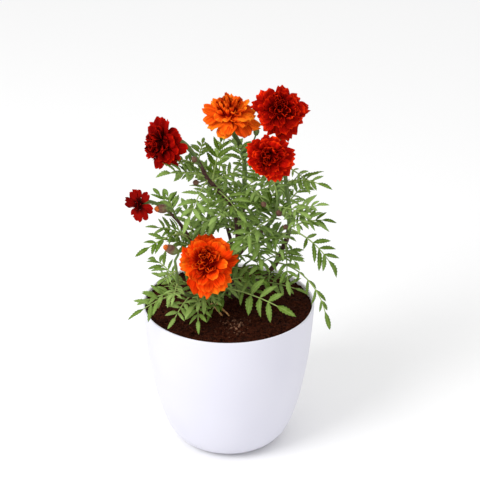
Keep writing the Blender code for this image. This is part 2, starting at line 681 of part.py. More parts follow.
def core_shape(flower):
    """The short round core that carries the layers of petals, one above another."""
    seat, facing, _, _ = flower_frame(flower)
    heights = flower.radius * np.array([0.0, CORE_HEIGHT]) + GAP
    radii = flower.radius * np.array([0.15, 0.11])
    return tube(seat + heights[:, None] * facing, radii, 6)


def make_flowers(stem_paths, finishes):
    made = []
    for name, flower in FLOWERS.items():
        made.append(add_object(f"flower_cup_{name}", cup_shape(stem_paths[name], flower), finishes["green"]))
        petals = []
        for layer in flower.layers:
            if layer.rise > STEEP_RISE:
                petals += [petal_layer(flower, layer, number) for number in range(layer.count)]
            else:
                petals.append(petal_layer(flower, layer))
        colour = {"top": "orange", "front": "orange_red"}.get(name, "dark_red")
        made.append(fused(f"flower_head_{name}", [core_shape(flower)] + petals, finishes[colour]))
    return made


def make_buds(finishes):
    made = []
    for name, bud in OPENING_BUDS.items():
        facing = heading_direction(bud.heading, bud.pitch)
        centre = np.array(bud.centre, float)
        shares = np.array([-1.5, -1.1, -0.4, 0.5, 1.2])
        cup_path = centre + bud.radius * shares[:, None] * facing
        cup_radii = bud.radius * np.array([0.35, 0.75, 1.0, 0.95, 0.7])
        made.append(add_object(name + "_cup", tube(cup_path, cup_radii, 8), finishes["green"]))
        tip_shares = np.array([1.2, 1.5, 1.9]) + GAP / bud.radius
        tip_path = centre + bud.radius * tip_shares[:, None] * facing
        tip_radii = bud.radius * np.array([0.66, 0.6, 0.3])
        made.append(add_object(name + "_tip", tube(tip_path, tip_radii, 8), finishes["orange_red"]))
    for name, bud in SMALL_BUDS.items():
        facing = heading_direction(bud.heading, bud.pitch)
        shares = np.array([-1.5, -0.9, 0.1, 0.9, 1.3])
        path = np.array(bud.centre, float) + bud.radius * shares[:, None] * facing
        radii = bud.radius * np.array([0.45, 0.9, 1.0, 0.75, 0.3])
        made.append(add_object(name, tube(path, radii, 5), finishes["bud"]))
    return made


# Leaves

def clear_of_pot(points):
    """Whether a leaf's points keep off the soil and off the pot's wall and rim."""
    distance = np.hypot(points[:, 0], points[:, 1])
    over_soil = points[:, 2] - soil_height(points[:, 0], points[:, 1]) > 2.0
    within = (distance < RIM_RADIUS - POT_WALL - 2.0) & over_soil
    above = points[:, 2] > POT_HEIGHT + 2.0
    beyond = distance > RIM_RADIUS + 1.5
    return bool((within | above | beyond).all())


def outer_part(shape, base):
    """The triangles of a leaf that lie wholly beyond the reach which it shares with its own stem."""
    points, faces = shape
    nearest = np.linalg.norm(points[np.array(faces)] - base, axis=2).min(axis=1)
    far = nearest > SHARED_REACH
    return points, [face for face, keep in zip(faces, far) if keep]


def settle_leaves(stem_paths, obstacles):
    """Gives each leaf the first of its swings in which it crosses nothing but the foot of its own stem."""
    settled = {name: [] for name in STEMS}
    taken = list(obstacles)
    for leaf in LEAVES:
        base, _ = point_along(stem_paths[leaf.stem], leaf.at)
        for turn, tip in SWINGS:
            heading, pitch = leaf.heading + turn, leaf.pitch + tip
            room = leaf_blade(leaf, base, heading, pitch, LEAF_THICKNESS + 2 * LEAF_CLEARANCE, LEAF_CLEARANCE)
            if not clear_of_pot(room[0]):
                continue
            whole, outer = surface_tree(room), surface_tree(outer_part(room, base))
            if any((outer if stem == leaf.stem else whole).overlap(other) for stem, other in taken):
                continue
            taken.append((leaf.stem, whole))
            settled[leaf.stem].append(leaf_blade(leaf, base, heading, pitch, LEAF_THICKNESS))
            break
        else:
            print("no room for", leaf)
    return settled


def make_plant(finishes):
    trunk_path = smooth_route(TRUNK_ROUTE, 2)
    trunk_radii = np.linspace(*TRUNK_RADII, len(trunk_path))
    add_object("main_stem", tube(trunk_path, trunk_radii, TRUNK_SIDES), finishes["bark"])
    stem_paths = {name: branch_path(stem) for name, stem in STEMS.items()}
    made = make_flowers(stem_paths, finishes) + make_buds(finishes)
    obstacles = [(None, object_tree(part)) for part in made]
    stalks = {name: [] for name in STEMS}
    for bud in list(OPENING_BUDS.values()) + list(SMALL_BUDS.values()):
        stalks[bud.stem].append(stalk_shape(stem_paths[bud.stem], bud))
    stem_shapes = {name: stem_shape(stem) for name, stem in STEMS.items()}
    for name, shape in stem_shapes.items():
        obstacles += [(name, surface_tree(part)) for part in [shape] + stalks[name]]
    leaves = settle_leaves(stem_paths, obstacles)
    for name, shape in stem_shapes.items():
        fused(f"leafy_stem_{name}", [shape] + stalks[name] + leaves[name], finishes["leaf"])


def main():
    for left_over in list(bpy.data.objects):
        bpy.data.objects.remove(left_over)
    finishes = {
        "pot": material("pot_white", (0.86, 0.85, 0.89), 0.35),
        "soil": material("soil_brown", (0.016, 0.007, 0.004), 0.95),
        "root": material("dried_root", (0.30, 0.19, 0.10), 0.9),
        "bark": material("bark", (0.06, 0.025, 0.02), 0.7),
        "leaf": material("leaf_green", (0.16, 0.28, 0.07), 0.6),
        "green": material("cup_green", (0.13, 0.20, 0.05), 0.6),
        "bud": material("bud_dark", (0.11, 0.035, 0.03), 0.6),
        "dark_red": material("dark_red", (0.45, 0.01, 0.002), 0.6),
        "orange": material("orange", (0.95, 0.13, 0.006), 0.6),
        "orange_red": material("orange_red", (0.85, 0.06, 0.004), 0.6),
    }
    make_pot(finishes["pot"])
    make_soil(finishes["soil"])
    make_dried_roots(finishes["root"])
    make_plant(finishes)


main()
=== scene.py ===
"""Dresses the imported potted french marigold.

A white pot of peat carries a branching plant with six blooms, buds and cut leaves. Lengths in the tables
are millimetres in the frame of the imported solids: +Z is up and -Y is the front. The tables of stems,
leaves and flowers repeat the ones that shaped the solids, so each finer piece lies where its solid is.
"""

import logging
import math
from dataclasses import dataclass, field
from enum import Enum

import bpy
import numpy as np
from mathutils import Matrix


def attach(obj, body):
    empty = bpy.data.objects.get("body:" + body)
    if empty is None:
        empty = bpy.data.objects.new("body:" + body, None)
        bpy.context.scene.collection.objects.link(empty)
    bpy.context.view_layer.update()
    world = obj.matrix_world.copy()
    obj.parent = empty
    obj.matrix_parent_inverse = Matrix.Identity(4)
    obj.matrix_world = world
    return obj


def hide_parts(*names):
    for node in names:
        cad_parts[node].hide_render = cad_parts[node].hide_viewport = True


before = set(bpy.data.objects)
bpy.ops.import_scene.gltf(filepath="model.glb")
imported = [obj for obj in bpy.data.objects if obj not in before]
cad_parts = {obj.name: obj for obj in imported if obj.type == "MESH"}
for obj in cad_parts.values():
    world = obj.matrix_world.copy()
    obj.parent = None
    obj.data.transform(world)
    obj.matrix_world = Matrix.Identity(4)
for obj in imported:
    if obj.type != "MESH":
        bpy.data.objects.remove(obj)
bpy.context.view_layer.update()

LOG = logging.getLogger("marigold")
MM = 0.001
GAP = 0.3
GOLDEN_TURN = math.radians(137.508)
HASH_VALUES = 4096
HASH_FACTORS = np.array([73856093, 19349663, 83492791])
NEARLY_STRAIGHT = 0.2
UP = np.array([0.0, 0.0, 1.0])
Array = np.ndarray
Numbers = tuple[float, ...]
Place = tuple[float, float, float]
Pair = tuple[float, float]
Line = tuple[Pair, ...]
Colour = tuple[float, float, float]
Material = bpy.types.Material
Tree = bpy.types.NodeTree
Socket = bpy.types.NodeSocket
Value = float | Numbers | Socket


# Tables

@dataclass(frozen=True)
class Stem:
    """A leafy stem: its route, and its radius at the base and at the tip.

    The bark's purple brown runs up to the share of its length given as dark_to, and green comes after it.
    The small young leaves along it are about as long as shoot_length.
    """

    route: tuple[Place, ...]
    base_radius: float
    tip_radius: float
    dark_to: float
    shoot_length: float = 31.0


@dataclass(frozen=True)
class Leaf:
    """A cut leaf: where it leaves its stem, which way, and its length, pairs of leaflets, sag and roll.

    The rest is for the finer leaf alone: how many more pairs it has, how broad they are, how far they hang
    and how much wider they stand from the rib.
    """

    at: float
    heading: float
    pitch: float
    length: float
    pairs: int
    sag: float
    roll: float = 0.0
    more_pairs: int = 1
    broad: float = 1.0
    hang: float = 0.0
    open: float = 0.0


class Petals(Enum):
    """A flower head's petals: ruffled all over, broad round a fingered heart, or in one open row."""

    RUFFLED = "ruffled"
    BROAD = "broad"
    SINGLE = "single"


@dataclass(frozen=True)
class Flower:
    """A flower head: its centre, radius, the way it faces, its petals, and how far its skirt hangs.

    Across, it is as many times wider as slender says, and up it is as many times lower. Its petals stand as
    many times higher as dome says, and the variety is one of the ways in which such a head can grow.
    """

    centre: Place
    radius: float
    heading: float
    pitch: float
    petals: Petals = Petals.RUFFLED
    skirt: float = 0.0
    slender: float = 1.0
    dome: float = 1.0
    variety: int = 0

    def facing(self) -> Array:
        """The unit vector that the head faces along."""
        return heading_direction(self.heading, self.pitch)

    def seat(self) -> Array:
        """The place behind the centre where the petals meet."""
        return np.array(self.centre, float) - 0.3 * self.radius * self.facing()


@dataclass(frozen=True)
class Bud:
    """A bud: its stem, where its stalk leaves it, its centre, the way it points and its radius."""

    stem: str
    at: float
    centre: Place
    heading: float
    pitch: float
    radius: float

    def line(self, shares: Array) -> Array:
        """Places on the bud's own line, at shares of its radius in front of its centre."""
        return np.array(self.centre, float) + self.radius * shares[:, None] * self.facing()

    def facing(self) -> Array:
        """The unit vector that the bud points along."""
        return heading_direction(self.heading, self.pitch)


STEMS = {
    "left": Stem(
        ((8, 14, 184), (7, 8, 208), (3, 1, 228), (-8, -4, 243), (-18, -7, 257), (-22, -9, 267),
         (-27, -11, 277)), 1.9, 1.5, dark_to=0.92),
    "top": Stem(
        ((11, 16, 204.5), (13, 17, 225), (14, 18, 244), (14, 18, 258), (13, 17, 270)),
        2.1, 1.8, dark_to=0.2),
    "middle": Stem(
        ((7, 13, 172), (19, 10, 188), (31, 4, 203), (39, -2, 217), (42, -6, 232), (42, -7, 246)),
        2.0, 1.5, dark_to=0.45, shoot_length=37.0),
    "right": Stem(
        ((4, 12, 138), (20, 15, 143), (39, 14, 161), (47, 11, 180), (52, 5, 198), (53, 3, 220),
         (50, 4, 243), (48, 6, 262), (46, 8, 280)), 2.3, 1.6, dark_to=0.5, shoot_length=38.0),
    "front": Stem(
        ((4, 12, 138), (2, 0, 146), (-4, -12, 154), (-9, -20, 162), (-13, -25, 169)),
        2.0, 1.7, dark_to=0.2),
    "far_left": Stem(
        ((6, 12, 158), (-5, 3, 170), (-18, -8, 183), (-29, -16, 197), (-37, -22, 215), (-44, -27, 228),
         (-52, -30, 238)), 1.9, 1.2, dark_to=0.95, shoot_length=36.0),
    "low_left": Stem(
        ((4, 11, 134), (-8, -3, 146), (-22, -20, 153), (-35, -34, 159), (-42, -42, 171), (-43, -48, 188),
         (-44, -51, 200)), 1.8, 1.1, dark_to=0.2, shoot_length=37.0),
    "back": Stem(
        ((7, 14, 166), (2, 26, 182), (-4, 37, 202), (-8, 43, 224), (-9, 45, 240)),
        1.8, 1.1, dark_to=0.4),
    "back_right": Stem(
        ((9, 15, 190), (20, 27, 200), (31, 35, 214), (37, 38, 232)), 1.6, 1.0, dark_to=0.3),
}

LEAVES = {
    "left": (
        Leaf(0.77, -149, 28, 46, 4, 18), Leaf(0.95, 80, 30, 26, 3, 14), Leaf(0.90, 147, 10, 28, 3, 20),
        Leaf(0.68, 57, 74, 42, 3, 12), Leaf(0.58, -65, 5, 44, 3, 22), Leaf(0.74, -135, -20, 46, 3, 24),
        Leaf(0.35, -110, 20, 44, 3, 24), Leaf(0.30, -168, -14, 44, 3, 26), Leaf(0.50, 100, 24, 38, 3, 26)),
    "top": (
        Leaf(0.80, -130, 50, 34, 3, 14), Leaf(0.81, -30, 15, 28, 3, 20), Leaf(0.50, -150, 36, 48, 3, 24),
        Leaf(0.35, -20, 30, 44, 3, 24), Leaf(0.12, -100, 14, 50, 3, 26), Leaf(0.22, 172, 14, 44, 3, 24),
        Leaf(0.58, -84, 40, 40, 3, 30), Leaf(0.66, 95, 34, 44, 3, 30)),
    "middle": (
        Leaf(0.90, -116, 58, 34, 3, 16), Leaf(0.78, -60, 20, 36, 3, 24), Leaf(0.62, -138, -6, 50, 3, 26),
        Leaf(0.45, -70, 4, 44, 3, 24), Leaf(0.25, -85, 12, 48, 3, 26), Leaf(0.55, 75, 30, 42, 3, 24)),
    "right": (
        Leaf(0.89, -38, -8, 27, 3, 22, more_pairs=-1), Leaf(0.62, -30, 34, 34, 3, 16),
        Leaf(0.53, -18, -16, 51, 4, 44, more_pairs=0), Leaf(0.50, -138, 10, 58, 4, 14),
        Leaf(0.28, -38, 0, 74, 4, 92, more_pairs=0, broad=0.85, hang=1.3),
        Leaf(0.43, -88, -20, 42, 3, 34), Leaf(0.46, -104, 34, 44, 3, 24), Leaf(0.58, 160, 20, 46, 3, 24),
        Leaf(0.33, -120, 22, 44, 3, 28), Leaf(0.72, 100, 20, 34, 3, 34)),
    "front": (
        Leaf(0.60, -33, 8, 62, 4, 22, 18, more_pairs=0, broad=1.15, open=14),
        Leaf(0.70, -157, 6, 44, 3, 24), Leaf(0.36, -150, -2, 34, 3, 30)),
    "far_left": (
        Leaf(0.70, -157, 0, 40, 3, 34, more_pairs=0), Leaf(0.60, -122, 54, 38, 3, 14),
        Leaf(0.86, 112, 40, 30, 3, 20), Leaf(0.45, -170, 34, 34, 3, 20), Leaf(0.28, 110, 52, 44, 3, 16),
        Leaf(0.52, 110, 34, 38, 3, 24)),
    "low_left": (
        Leaf(0.66, -166, 52, 28, 3, 24), Leaf(0.62, -153, 6, 44, 3, 36, more_pairs=0),
        Leaf(0.52, -118, -14, 34, 3, 38), Leaf(0.44, -88, -14, 36, 3, 40), Leaf(0.36, -58, 20, 24, 3, 40),
        Leaf(0.90, -120, 10, 25, 3, 24), Leaf(0.76, -95, 10, 30, 3, 26)),
    "back": (
        Leaf(0.40, 110, 20, 44, 3, 34), Leaf(0.55, 60, 24, 46, 3, 34), Leaf(0.80, 140, 34, 38, 3, 24),
        Leaf(0.96, 80, 50, 40, 3, 24)),
    "back_right": (
        Leaf(0.60, 20, 16, 36, 3, 34), Leaf(0.80, 110, 30, 42, 3, 30), Leaf(0.96, 60, 44, 34, 3, 24)),
}

SWINGS = ((0, 0), (10, 0), (-10, 0), (0, 12), (0, -12), (20, 0), (-20, 0), (12, 14), (-12, 14), (12, -14),
          (-12, -14), (32, 0), (-32, 0), (0, 26), (0, -26), (26, 20), (-26, 20), (26, -20), (-26, -20),
          (48, 0), (-48, 0), (44, 24), (-44, 24), (70, 0), (-70, 0), (70, 24), (-70, 24))

FLOWERS = {
    "left": Flower((-57, -21, 293), 22.0, -138, 8, skirt=4.0, slender=0.97, variety=1),
    "top": Flower((1.5, 10.5, 308.5), 24.0, -116, 70, Petals.BROAD, skirt=22.0, slender=1.06, dome=1.38,
                  variety=3),
    "right": Flower((43.5, -6, 318), 23.2, -95, 34, skirt=6.0, slender=1.04, variety=9),
    "middle": Flower((34, -28, 284), 21.5, -100, 20, slender=1.02, variety=9),
    "front": Flower((-18, -45, 197), 26.5, -95, 42, Petals.BROAD, skirt=4.0, slender=0.92, variety=6),
    "far_left": Flower((-75, -40, 246), 15.5, -127, 8, Petals.SINGLE),
}

OPENING_BUDS = {
    "bud_left": Bud("far_left", 0.86, (-54, -40, 243), -150, 10, 3.7),
    "bud_low": Bud("low_left", 1.0, (-46.5, -54, 212), -165, 30, 3.9),
}
SMALL_BUDS = {
    "small_bud_1": Bud("left", 0.88, (-28, -20, 279), -120, 50, 2.4),
    "small_bud_2": Bud("left", 0.72, (-27, -18, 257), -120, 20, 2.4),
    "small_bud_3": Bud("middle", 0.70, (30, -22, 239), -110, 50, 2.3),
    "small_bud_4": Bud("right", 0.66, (43, -18, 229), -110, 50, 2.6),
    "small_bud_5": Bud("right", 0.56, (49, -14, 214), -90, 40, 2.3),
    "small_bud_6": Bud("top", 0.95, (24, 4, 294), -60, 70, 2.5),
}


# Directions, curves and noise

def unit(vectors: Array) -> Array:
    """Vectors divided by their lengths, along the last axis."""
    return vectors / np.linalg.norm(vectors, axis=-1, keepdims=True)


def heading_direction(heading: float, pitch: float) -> Array:
    """The unit vector at a heading in degrees from +X towards +Y, raised by the pitch."""
    turn, rise = math.radians(heading), math.radians(pitch)
    return np.array([math.cos(rise) * math.cos(turn), math.cos(rise) * math.sin(turn), math.sin(rise)])


def ring_angles(count: int) -> Array:
    """The angles of even steps round one turn, in radians."""
    return 2 * math.pi * np.arange(count) / count


def read_between(at: float | Array, knots: Array, rows: Array) -> Array:
    """The rows of a table read between its knots, each column by straight lines.

    Args:
        at: The places to read at.
        knots: The rising place of each row.
        rows: The table.

    Returns:
        The values, with the columns in the last axis.
    """
    return np.stack([np.interp(at, knots, column) for column in rows.T], -1)


def smooth_route(points: Array, per_span: int) -> Array:
    """A Catmull-Rom curve through the points: in each span, a cubic whose ends have the neighbours' slope.

    Args:
        points: The places on the curve, one a row.
        per_span: The steps between each two.

    Returns:
        The curve's points, the last one being the last place.
    """
    knots = np.array(points, float)
    knots = np.vstack([2 * knots[0] - knots[1], knots, 2 * knots[-1] - knots[-2]])
    a, b, c, d = (knots[k:len(knots) - 3 + k, None, :] for k in range(4))
    t = (np.arange(per_span) / per_span)[None, :, None]
    spans = b + 0.5 * ((c - a) * t + (2 * a - 5 * b + 4 * c - d) * t**2 + (3 * b - a - 3 * c + d) * t**3)
    return np.vstack([spans.reshape(-1, knots.shape[1]), knots[-2:-1]])


def point_along(path: Array, share: float) -> tuple[Array, Array]:
    """The place on a path at a share of its length, and the path's direction there.

    Args:
        path: The path's points.
        share: The share of its length, from 0 to 1.

    Returns:
        The place and the unit direction.
    """
    reached = np.concatenate([[0.0], np.cumsum(np.linalg.norm(np.diff(path, axis=0), axis=1))])
    target = share * reached[-1]
    span = min(int(np.searchsorted(reached, target, side="right")) - 1, len(path) - 2)
    return read_between(target, reached, path), unit(path[span + 1] - path[span])


def joining_curve(start: Array, start_way: Array, end: Array, end_way: Array, count: int) -> Array:
    """A Hermite curve between two places, with their directions as slopes, stretched by the distance.

    Args:
        start: Where it begins.
        start_way: The unit direction there.
        end: Where it ends.
        end_way: The unit direction there.
        count: How many points it has.

    Returns:
        The curve's points.
    """
    pull = np.linalg.norm(end - start)
    t = np.linspace(0.0, 1.0, count)[:, None]
    return ((2 * t**3 - 3 * t**2 + 1) * start + (t**3 - 2 * t**2 + t) * pull * start_way
            + (3 * t**2 - 2 * t**3) * end + (t**3 - t**2) * pull * end_way)


def lattice_noise(points: Array, size: float, seed: int) -> Array:
    """Smooth noise from -1 to 1: random values at the corners of cubes, blended between them.

    A corner's value is looked up by a sum of its whole coordinates, each times a large prime. The blend is
    a smoothstep along each axis.

    Args:
        points: The places, in the last axis.
        size: The side of a cube.
        seed: Picks the random values.

    Returns:
        One value for each place.
    """
    table = np.random.default_rng(seed).uniform(-1.0, 1.0, HASH_VALUES)
    cell = np.floor(points / size).astype(np.int64)
    part = points / size - cell
    part = part * part * (3.0 - 2.0 * part)
    corners = np.array([[i, j, k] for i in (0, 1) for j in (0, 1) for k in (0, 1)])
    keys = (cell[..., None, :] + corners) @ HASH_FACTORS
    weights = np.prod(np.where(corners == 1, part[..., None, :], 1.0 - part[..., None, :]), axis=-1)
    return np.sum(table[keys % HASH_VALUES] * weights, axis=-1)


# Surfaces

@dataclass
class Surface:
    """A closed surface in millimetres, with what its material reads at each point.

    The marks are values by name, one for each point, and uv is a place on the surface's own pattern.
    """

    points: Array
    quads: Array
    triangles: Array
    uv: Array
    marks: dict[str, Array] = field(default_factory=dict)

    def marked(self, **marks: float | Array) -> "Surface":
        """The surface itself, after each mark is spread over its points.

        Args:
            marks: Each mark's value, one for all points or one for each.

        Returns:
            The surface.
        """
        for name, value in marks.items():
            self.marks[name] = np.broadcast_to(np.asarray(value, float), (len(self.points),)).copy()
        return self


def join_surfaces(surfaces: list[Surface]) -> Surface:
    """One surface that holds several, their face numbers moved on by the points before them.

    Args:
        surfaces: The surfaces, which may have different marks.

    Returns:
        The surface, with 0 where a part lacked a mark.
    """
    starts = np.concatenate([[0], np.cumsum([len(part.points) for part in surfaces])[:-1]])
    names = {name for part in surfaces for name in part.marks}
    marks = {name: np.concatenate([part.marks.get(name, np.zeros(len(part.points))) for part in surfaces])
             for name in sorted(names)}
    return Surface(
        np.vstack([part.points for part in surfaces]),
        np.vstack([part.quads + start for part, start in zip(surfaces, starts)]),
        np.vstack([part.triangles + start for part, start in zip(surfaces, starts)]),
        np.vstack([part.uv for part in surfaces]), marks)


def thin_sheets(middle: Array, normals: Array, thickness: Array, uv: Array) -> Surface:
    """Closed thin sheets: each grid of points goes half its thickness up and down, and its edge is walled.

    The normal is the direction along the rows crossed with the one along the columns.

    Args:
        middle: The sheets' middle points, by sheet, row and column.
        normals: The unit normals there.
        thickness: The thickness there, by sheet, row and column or less.
        uv: The pattern place, by row and column.

    Returns:
        The sheets as one surface, marked 1 on the underside.
    """
    count, rows, columns, _ = middle.shape
    grid = np.arange(rows * columns).reshape(rows, columns)
    upper = np.stack([grid[:-1, :-1], grid[1:, :-1], grid[1:, 1:], grid[:-1, 1:]], -1).reshape(-1, 4)
    edge = np.concatenate([grid[0, :-1], grid[:-1, -1], grid[-1, :0:-1], grid[:0:-1, 0]])
    after = np.roll(edge, -1)
    layer = rows * columns
    wall = np.stack([edge, after, after + layer, edge + layer], -1)
    pattern = np.vstack([upper, upper[:, ::-1] + layer, wall])
    quads = (pattern[None] + 2 * layer * np.arange(count)[:, None, None]).reshape(-1, 4)
    shift = 0.5 * np.broadcast_to(thickness, middle.shape[:3])[..., None] * normals
    points = np.stack([middle + shift, middle - shift], axis=1).reshape(-1, 3)
    underside = np.broadcast_to(np.array([0.0, 1.0])[None, :, None], (count, 2, layer)).ravel()
    places = np.broadcast_to(uv.reshape(1, 1, layer, 2), (count, 2, layer, 2)).reshape(-1, 2)
    return Surface(points, quads, np.zeros((0, 3), int), places.copy(), {"underside": underside.copy()})


def sheet_normals(middle: Array) -> Array:
    """The unit normals of grids of points: the slope along the rows crossed with that along the columns."""
    return unit(np.cross(np.gradient(middle, axis=1), np.gradient(middle, axis=2)))


def path_frames(path: Array, reference: Array | None = None) -> tuple[Array, Array, Array]:
    """The directions along a path and two across it, with no twist about the reference.

    Args:
        path: The path's points.
        reference: A direction that the path never follows, or None for the normal of the plane of its two
            ends, or for the axis that a nearly straight path is least along.

    Returns:
        The unit tangents and the two unit directions across them.
    """
    tangents = unit(np.gradient(path, axis=0))
    if reference is None:
        reference = np.cross(tangents[0], tangents[-1])
        if np.linalg.norm(reference) < NEARLY_STRAIGHT:
            reference = np.cross(tangents[0], np.eye(3)[np.argmin(np.abs(tangents[0]))])
    across = unit(reference - tangents * (tangents @ reference)[:, None])
    return tangents, across, np.cross(tangents, across)


def ring_faces(levels: int, sides: int) -> tuple[Array, Array]:
    """The faces of a stack of rings that a fan closes at each end, its two poles being the last points.

    Args:
        levels: How many rings there are.
        sides: How many points each one has.

    Returns:
        The quads between the rings, and the triangles of the two fans.
    """
    level, side = np.meshgrid(np.arange(levels - 1), np.arange(sides), indexing="ij")
    here, beside = level * sides + side, level * sides + (side + 1) % sides
    quads = np.stack([here, beside, beside + sides, here + sides], -1).reshape(-1, 4)
    spot = np.arange(sides)
    after = (spot + 1) % sides
    pole = levels * sides
    last = pole - sides
    start_fan = np.stack([np.full(sides, pole), after, spot], -1)
    end_fan = np.stack([np.full(sides, pole + 1), last + spot, last + after], -1)
    return quads, np.vstack([start_fan, end_fan])


def swept_tube(path: Array, radii: Array, sides: int, lift: Array | None = None,
               reference: Array | None = None) -> Surface:
    """A ring carried along a path and closed at each end by a fan round a pole.

    A point is the path's point, plus the radius times the ring's direction, plus the lift along the path.

    Args:
        path: The path's points.
        radii: The radius at each of them, or at each of them and each side.
        sides: How many sides the ring has.
        lift: How far each point of each ring is moved along the path, or None.
        reference: The direction that path_frames takes.

    Returns:
        The tube, marked with its share of the length as along.
    """
    tangents, across, other = path_frames(path, reference)
    angles = ring_angles(sides)
    spokes = (np.cos(angles)[None, :, None] * across[:, None]
              + np.sin(angles)[None, :, None] * other[:, None])
    each = radii if np.ndim(radii) == 2 else np.asarray(radii)[:, None]
    rings = path[:, None] + np.broadcast_to(each, (len(path), sides))[..., None] * spokes
    if lift is not None:
        rings = rings + lift[..., None] * tangents[:, None]
    points = np.vstack([rings.reshape(-1, 3), rings[0].mean(axis=0), rings[-1].mean(axis=0)])
    round_it = 1.0 - np.abs(2.0 * np.arange(sides) / sides - 1.0)
    turn = np.concatenate([np.tile(round_it, len(path)), [0.5, 0.5]])
    along = np.concatenate([np.repeat(np.linspace(0.0, 1.0, len(path)), sides), [0.0, 1.0]])
    return Surface(points, *ring_faces(len(path), sides), np.stack([turn, along], -1), {"along": along})


def turned_surface(profile: Array, sides: int) -> Surface:
    """A profile of radius and height turned round the Z axis, its first and last point being on the axis.

    The profile runs so that its outer side is on its right hand, such as from the bottom up on the outside.

    Args:
        profile: Radius and height, one point a row.
        sides: The steps of the turn.

    Returns:
        The closed surface.
    """
    angles = ring_angles(sides)
    ring = profile[1:-1]
    points = np.stack([ring[:, None, 0] * np.cos(angles), ring[:, None, 0] * np.sin(angles),
                       np.broadcast_to(ring[:, None, 1], (len(ring), sides))], -1).reshape(-1, 3)
    points = np.vstack([points, [0.0, 0.0, profile[0, 1]], [0.0, 0.0, profile[-1, 1]]])
    uv = np.stack([np.arctan2(points[:, 1], points[:, 0]) / (2 * math.pi) + 0.5, points[:, 2] / 100.0], -1)
    return Surface(points, *ring_faces(len(ring), sides), uv)


def show(name: str, data: bpy.types.ID) -> bpy.types.Object:
    """Puts a mesh, lamp or camera into the scene.

    Args:
        name: The object's name.
        data: What it shows.

    Returns:
        The object.
    """
    made = bpy.data.objects.new(name, data)
    bpy.context.scene.collection.objects.link(made)
    return made


def make_piece(name: str, surface: Surface, finish: Material, slot: str, *nodes: str) -> None:
    """Makes an object with a smooth mesh that rides on the part's one body.

    Args:
        name: The piece's name.
        surface: Its shape, in millimetres.
        finish: Its material.
        slot: Not used; the record's material slot that the finish belongs to.
        nodes: The solids that it stands for.
    """
    mesh = bpy.data.meshes.new(name)
    corners = np.concatenate([surface.quads.ravel(), surface.triangles.ravel()]).astype(np.int32)
    sizes = np.concatenate([np.full(len(surface.quads), 4), np.full(len(surface.triangles), 3)])
    mesh.vertices.add(len(surface.points))
    mesh.vertices.foreach_set("co", (surface.points * MM).astype(np.float32).ravel())
    mesh.loops.add(len(corners))
    mesh.loops.foreach_set("vertex_index", corners)
    mesh.polygons.add(len(sizes))
    mesh.polygons.foreach_set("loop_start", np.concatenate([[0], np.cumsum(sizes)[:-1]]).astype(np.int32))
    mesh.polygons.foreach_set("use_smooth", np.ones(len(sizes), bool))
    mesh.update(calc_edges=True)
    layer = mesh.uv_layers.new(name="pattern")
    layer.uv.foreach_set("vector", surface.uv[corners].astype(np.float32).ravel())
    for mark, values in surface.marks.items():
        mesh.attributes.new(mark, "FLOAT", "POINT").data.foreach_set("value", values.astype(np.float32))
    mesh.materials.append(finish)
    mesh.validate()
    piece = show(name, mesh)
    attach(piece, "root")
    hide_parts(*nodes)
    LOG.info("%s: %d faces", name, len(sizes))


# Shader graphs

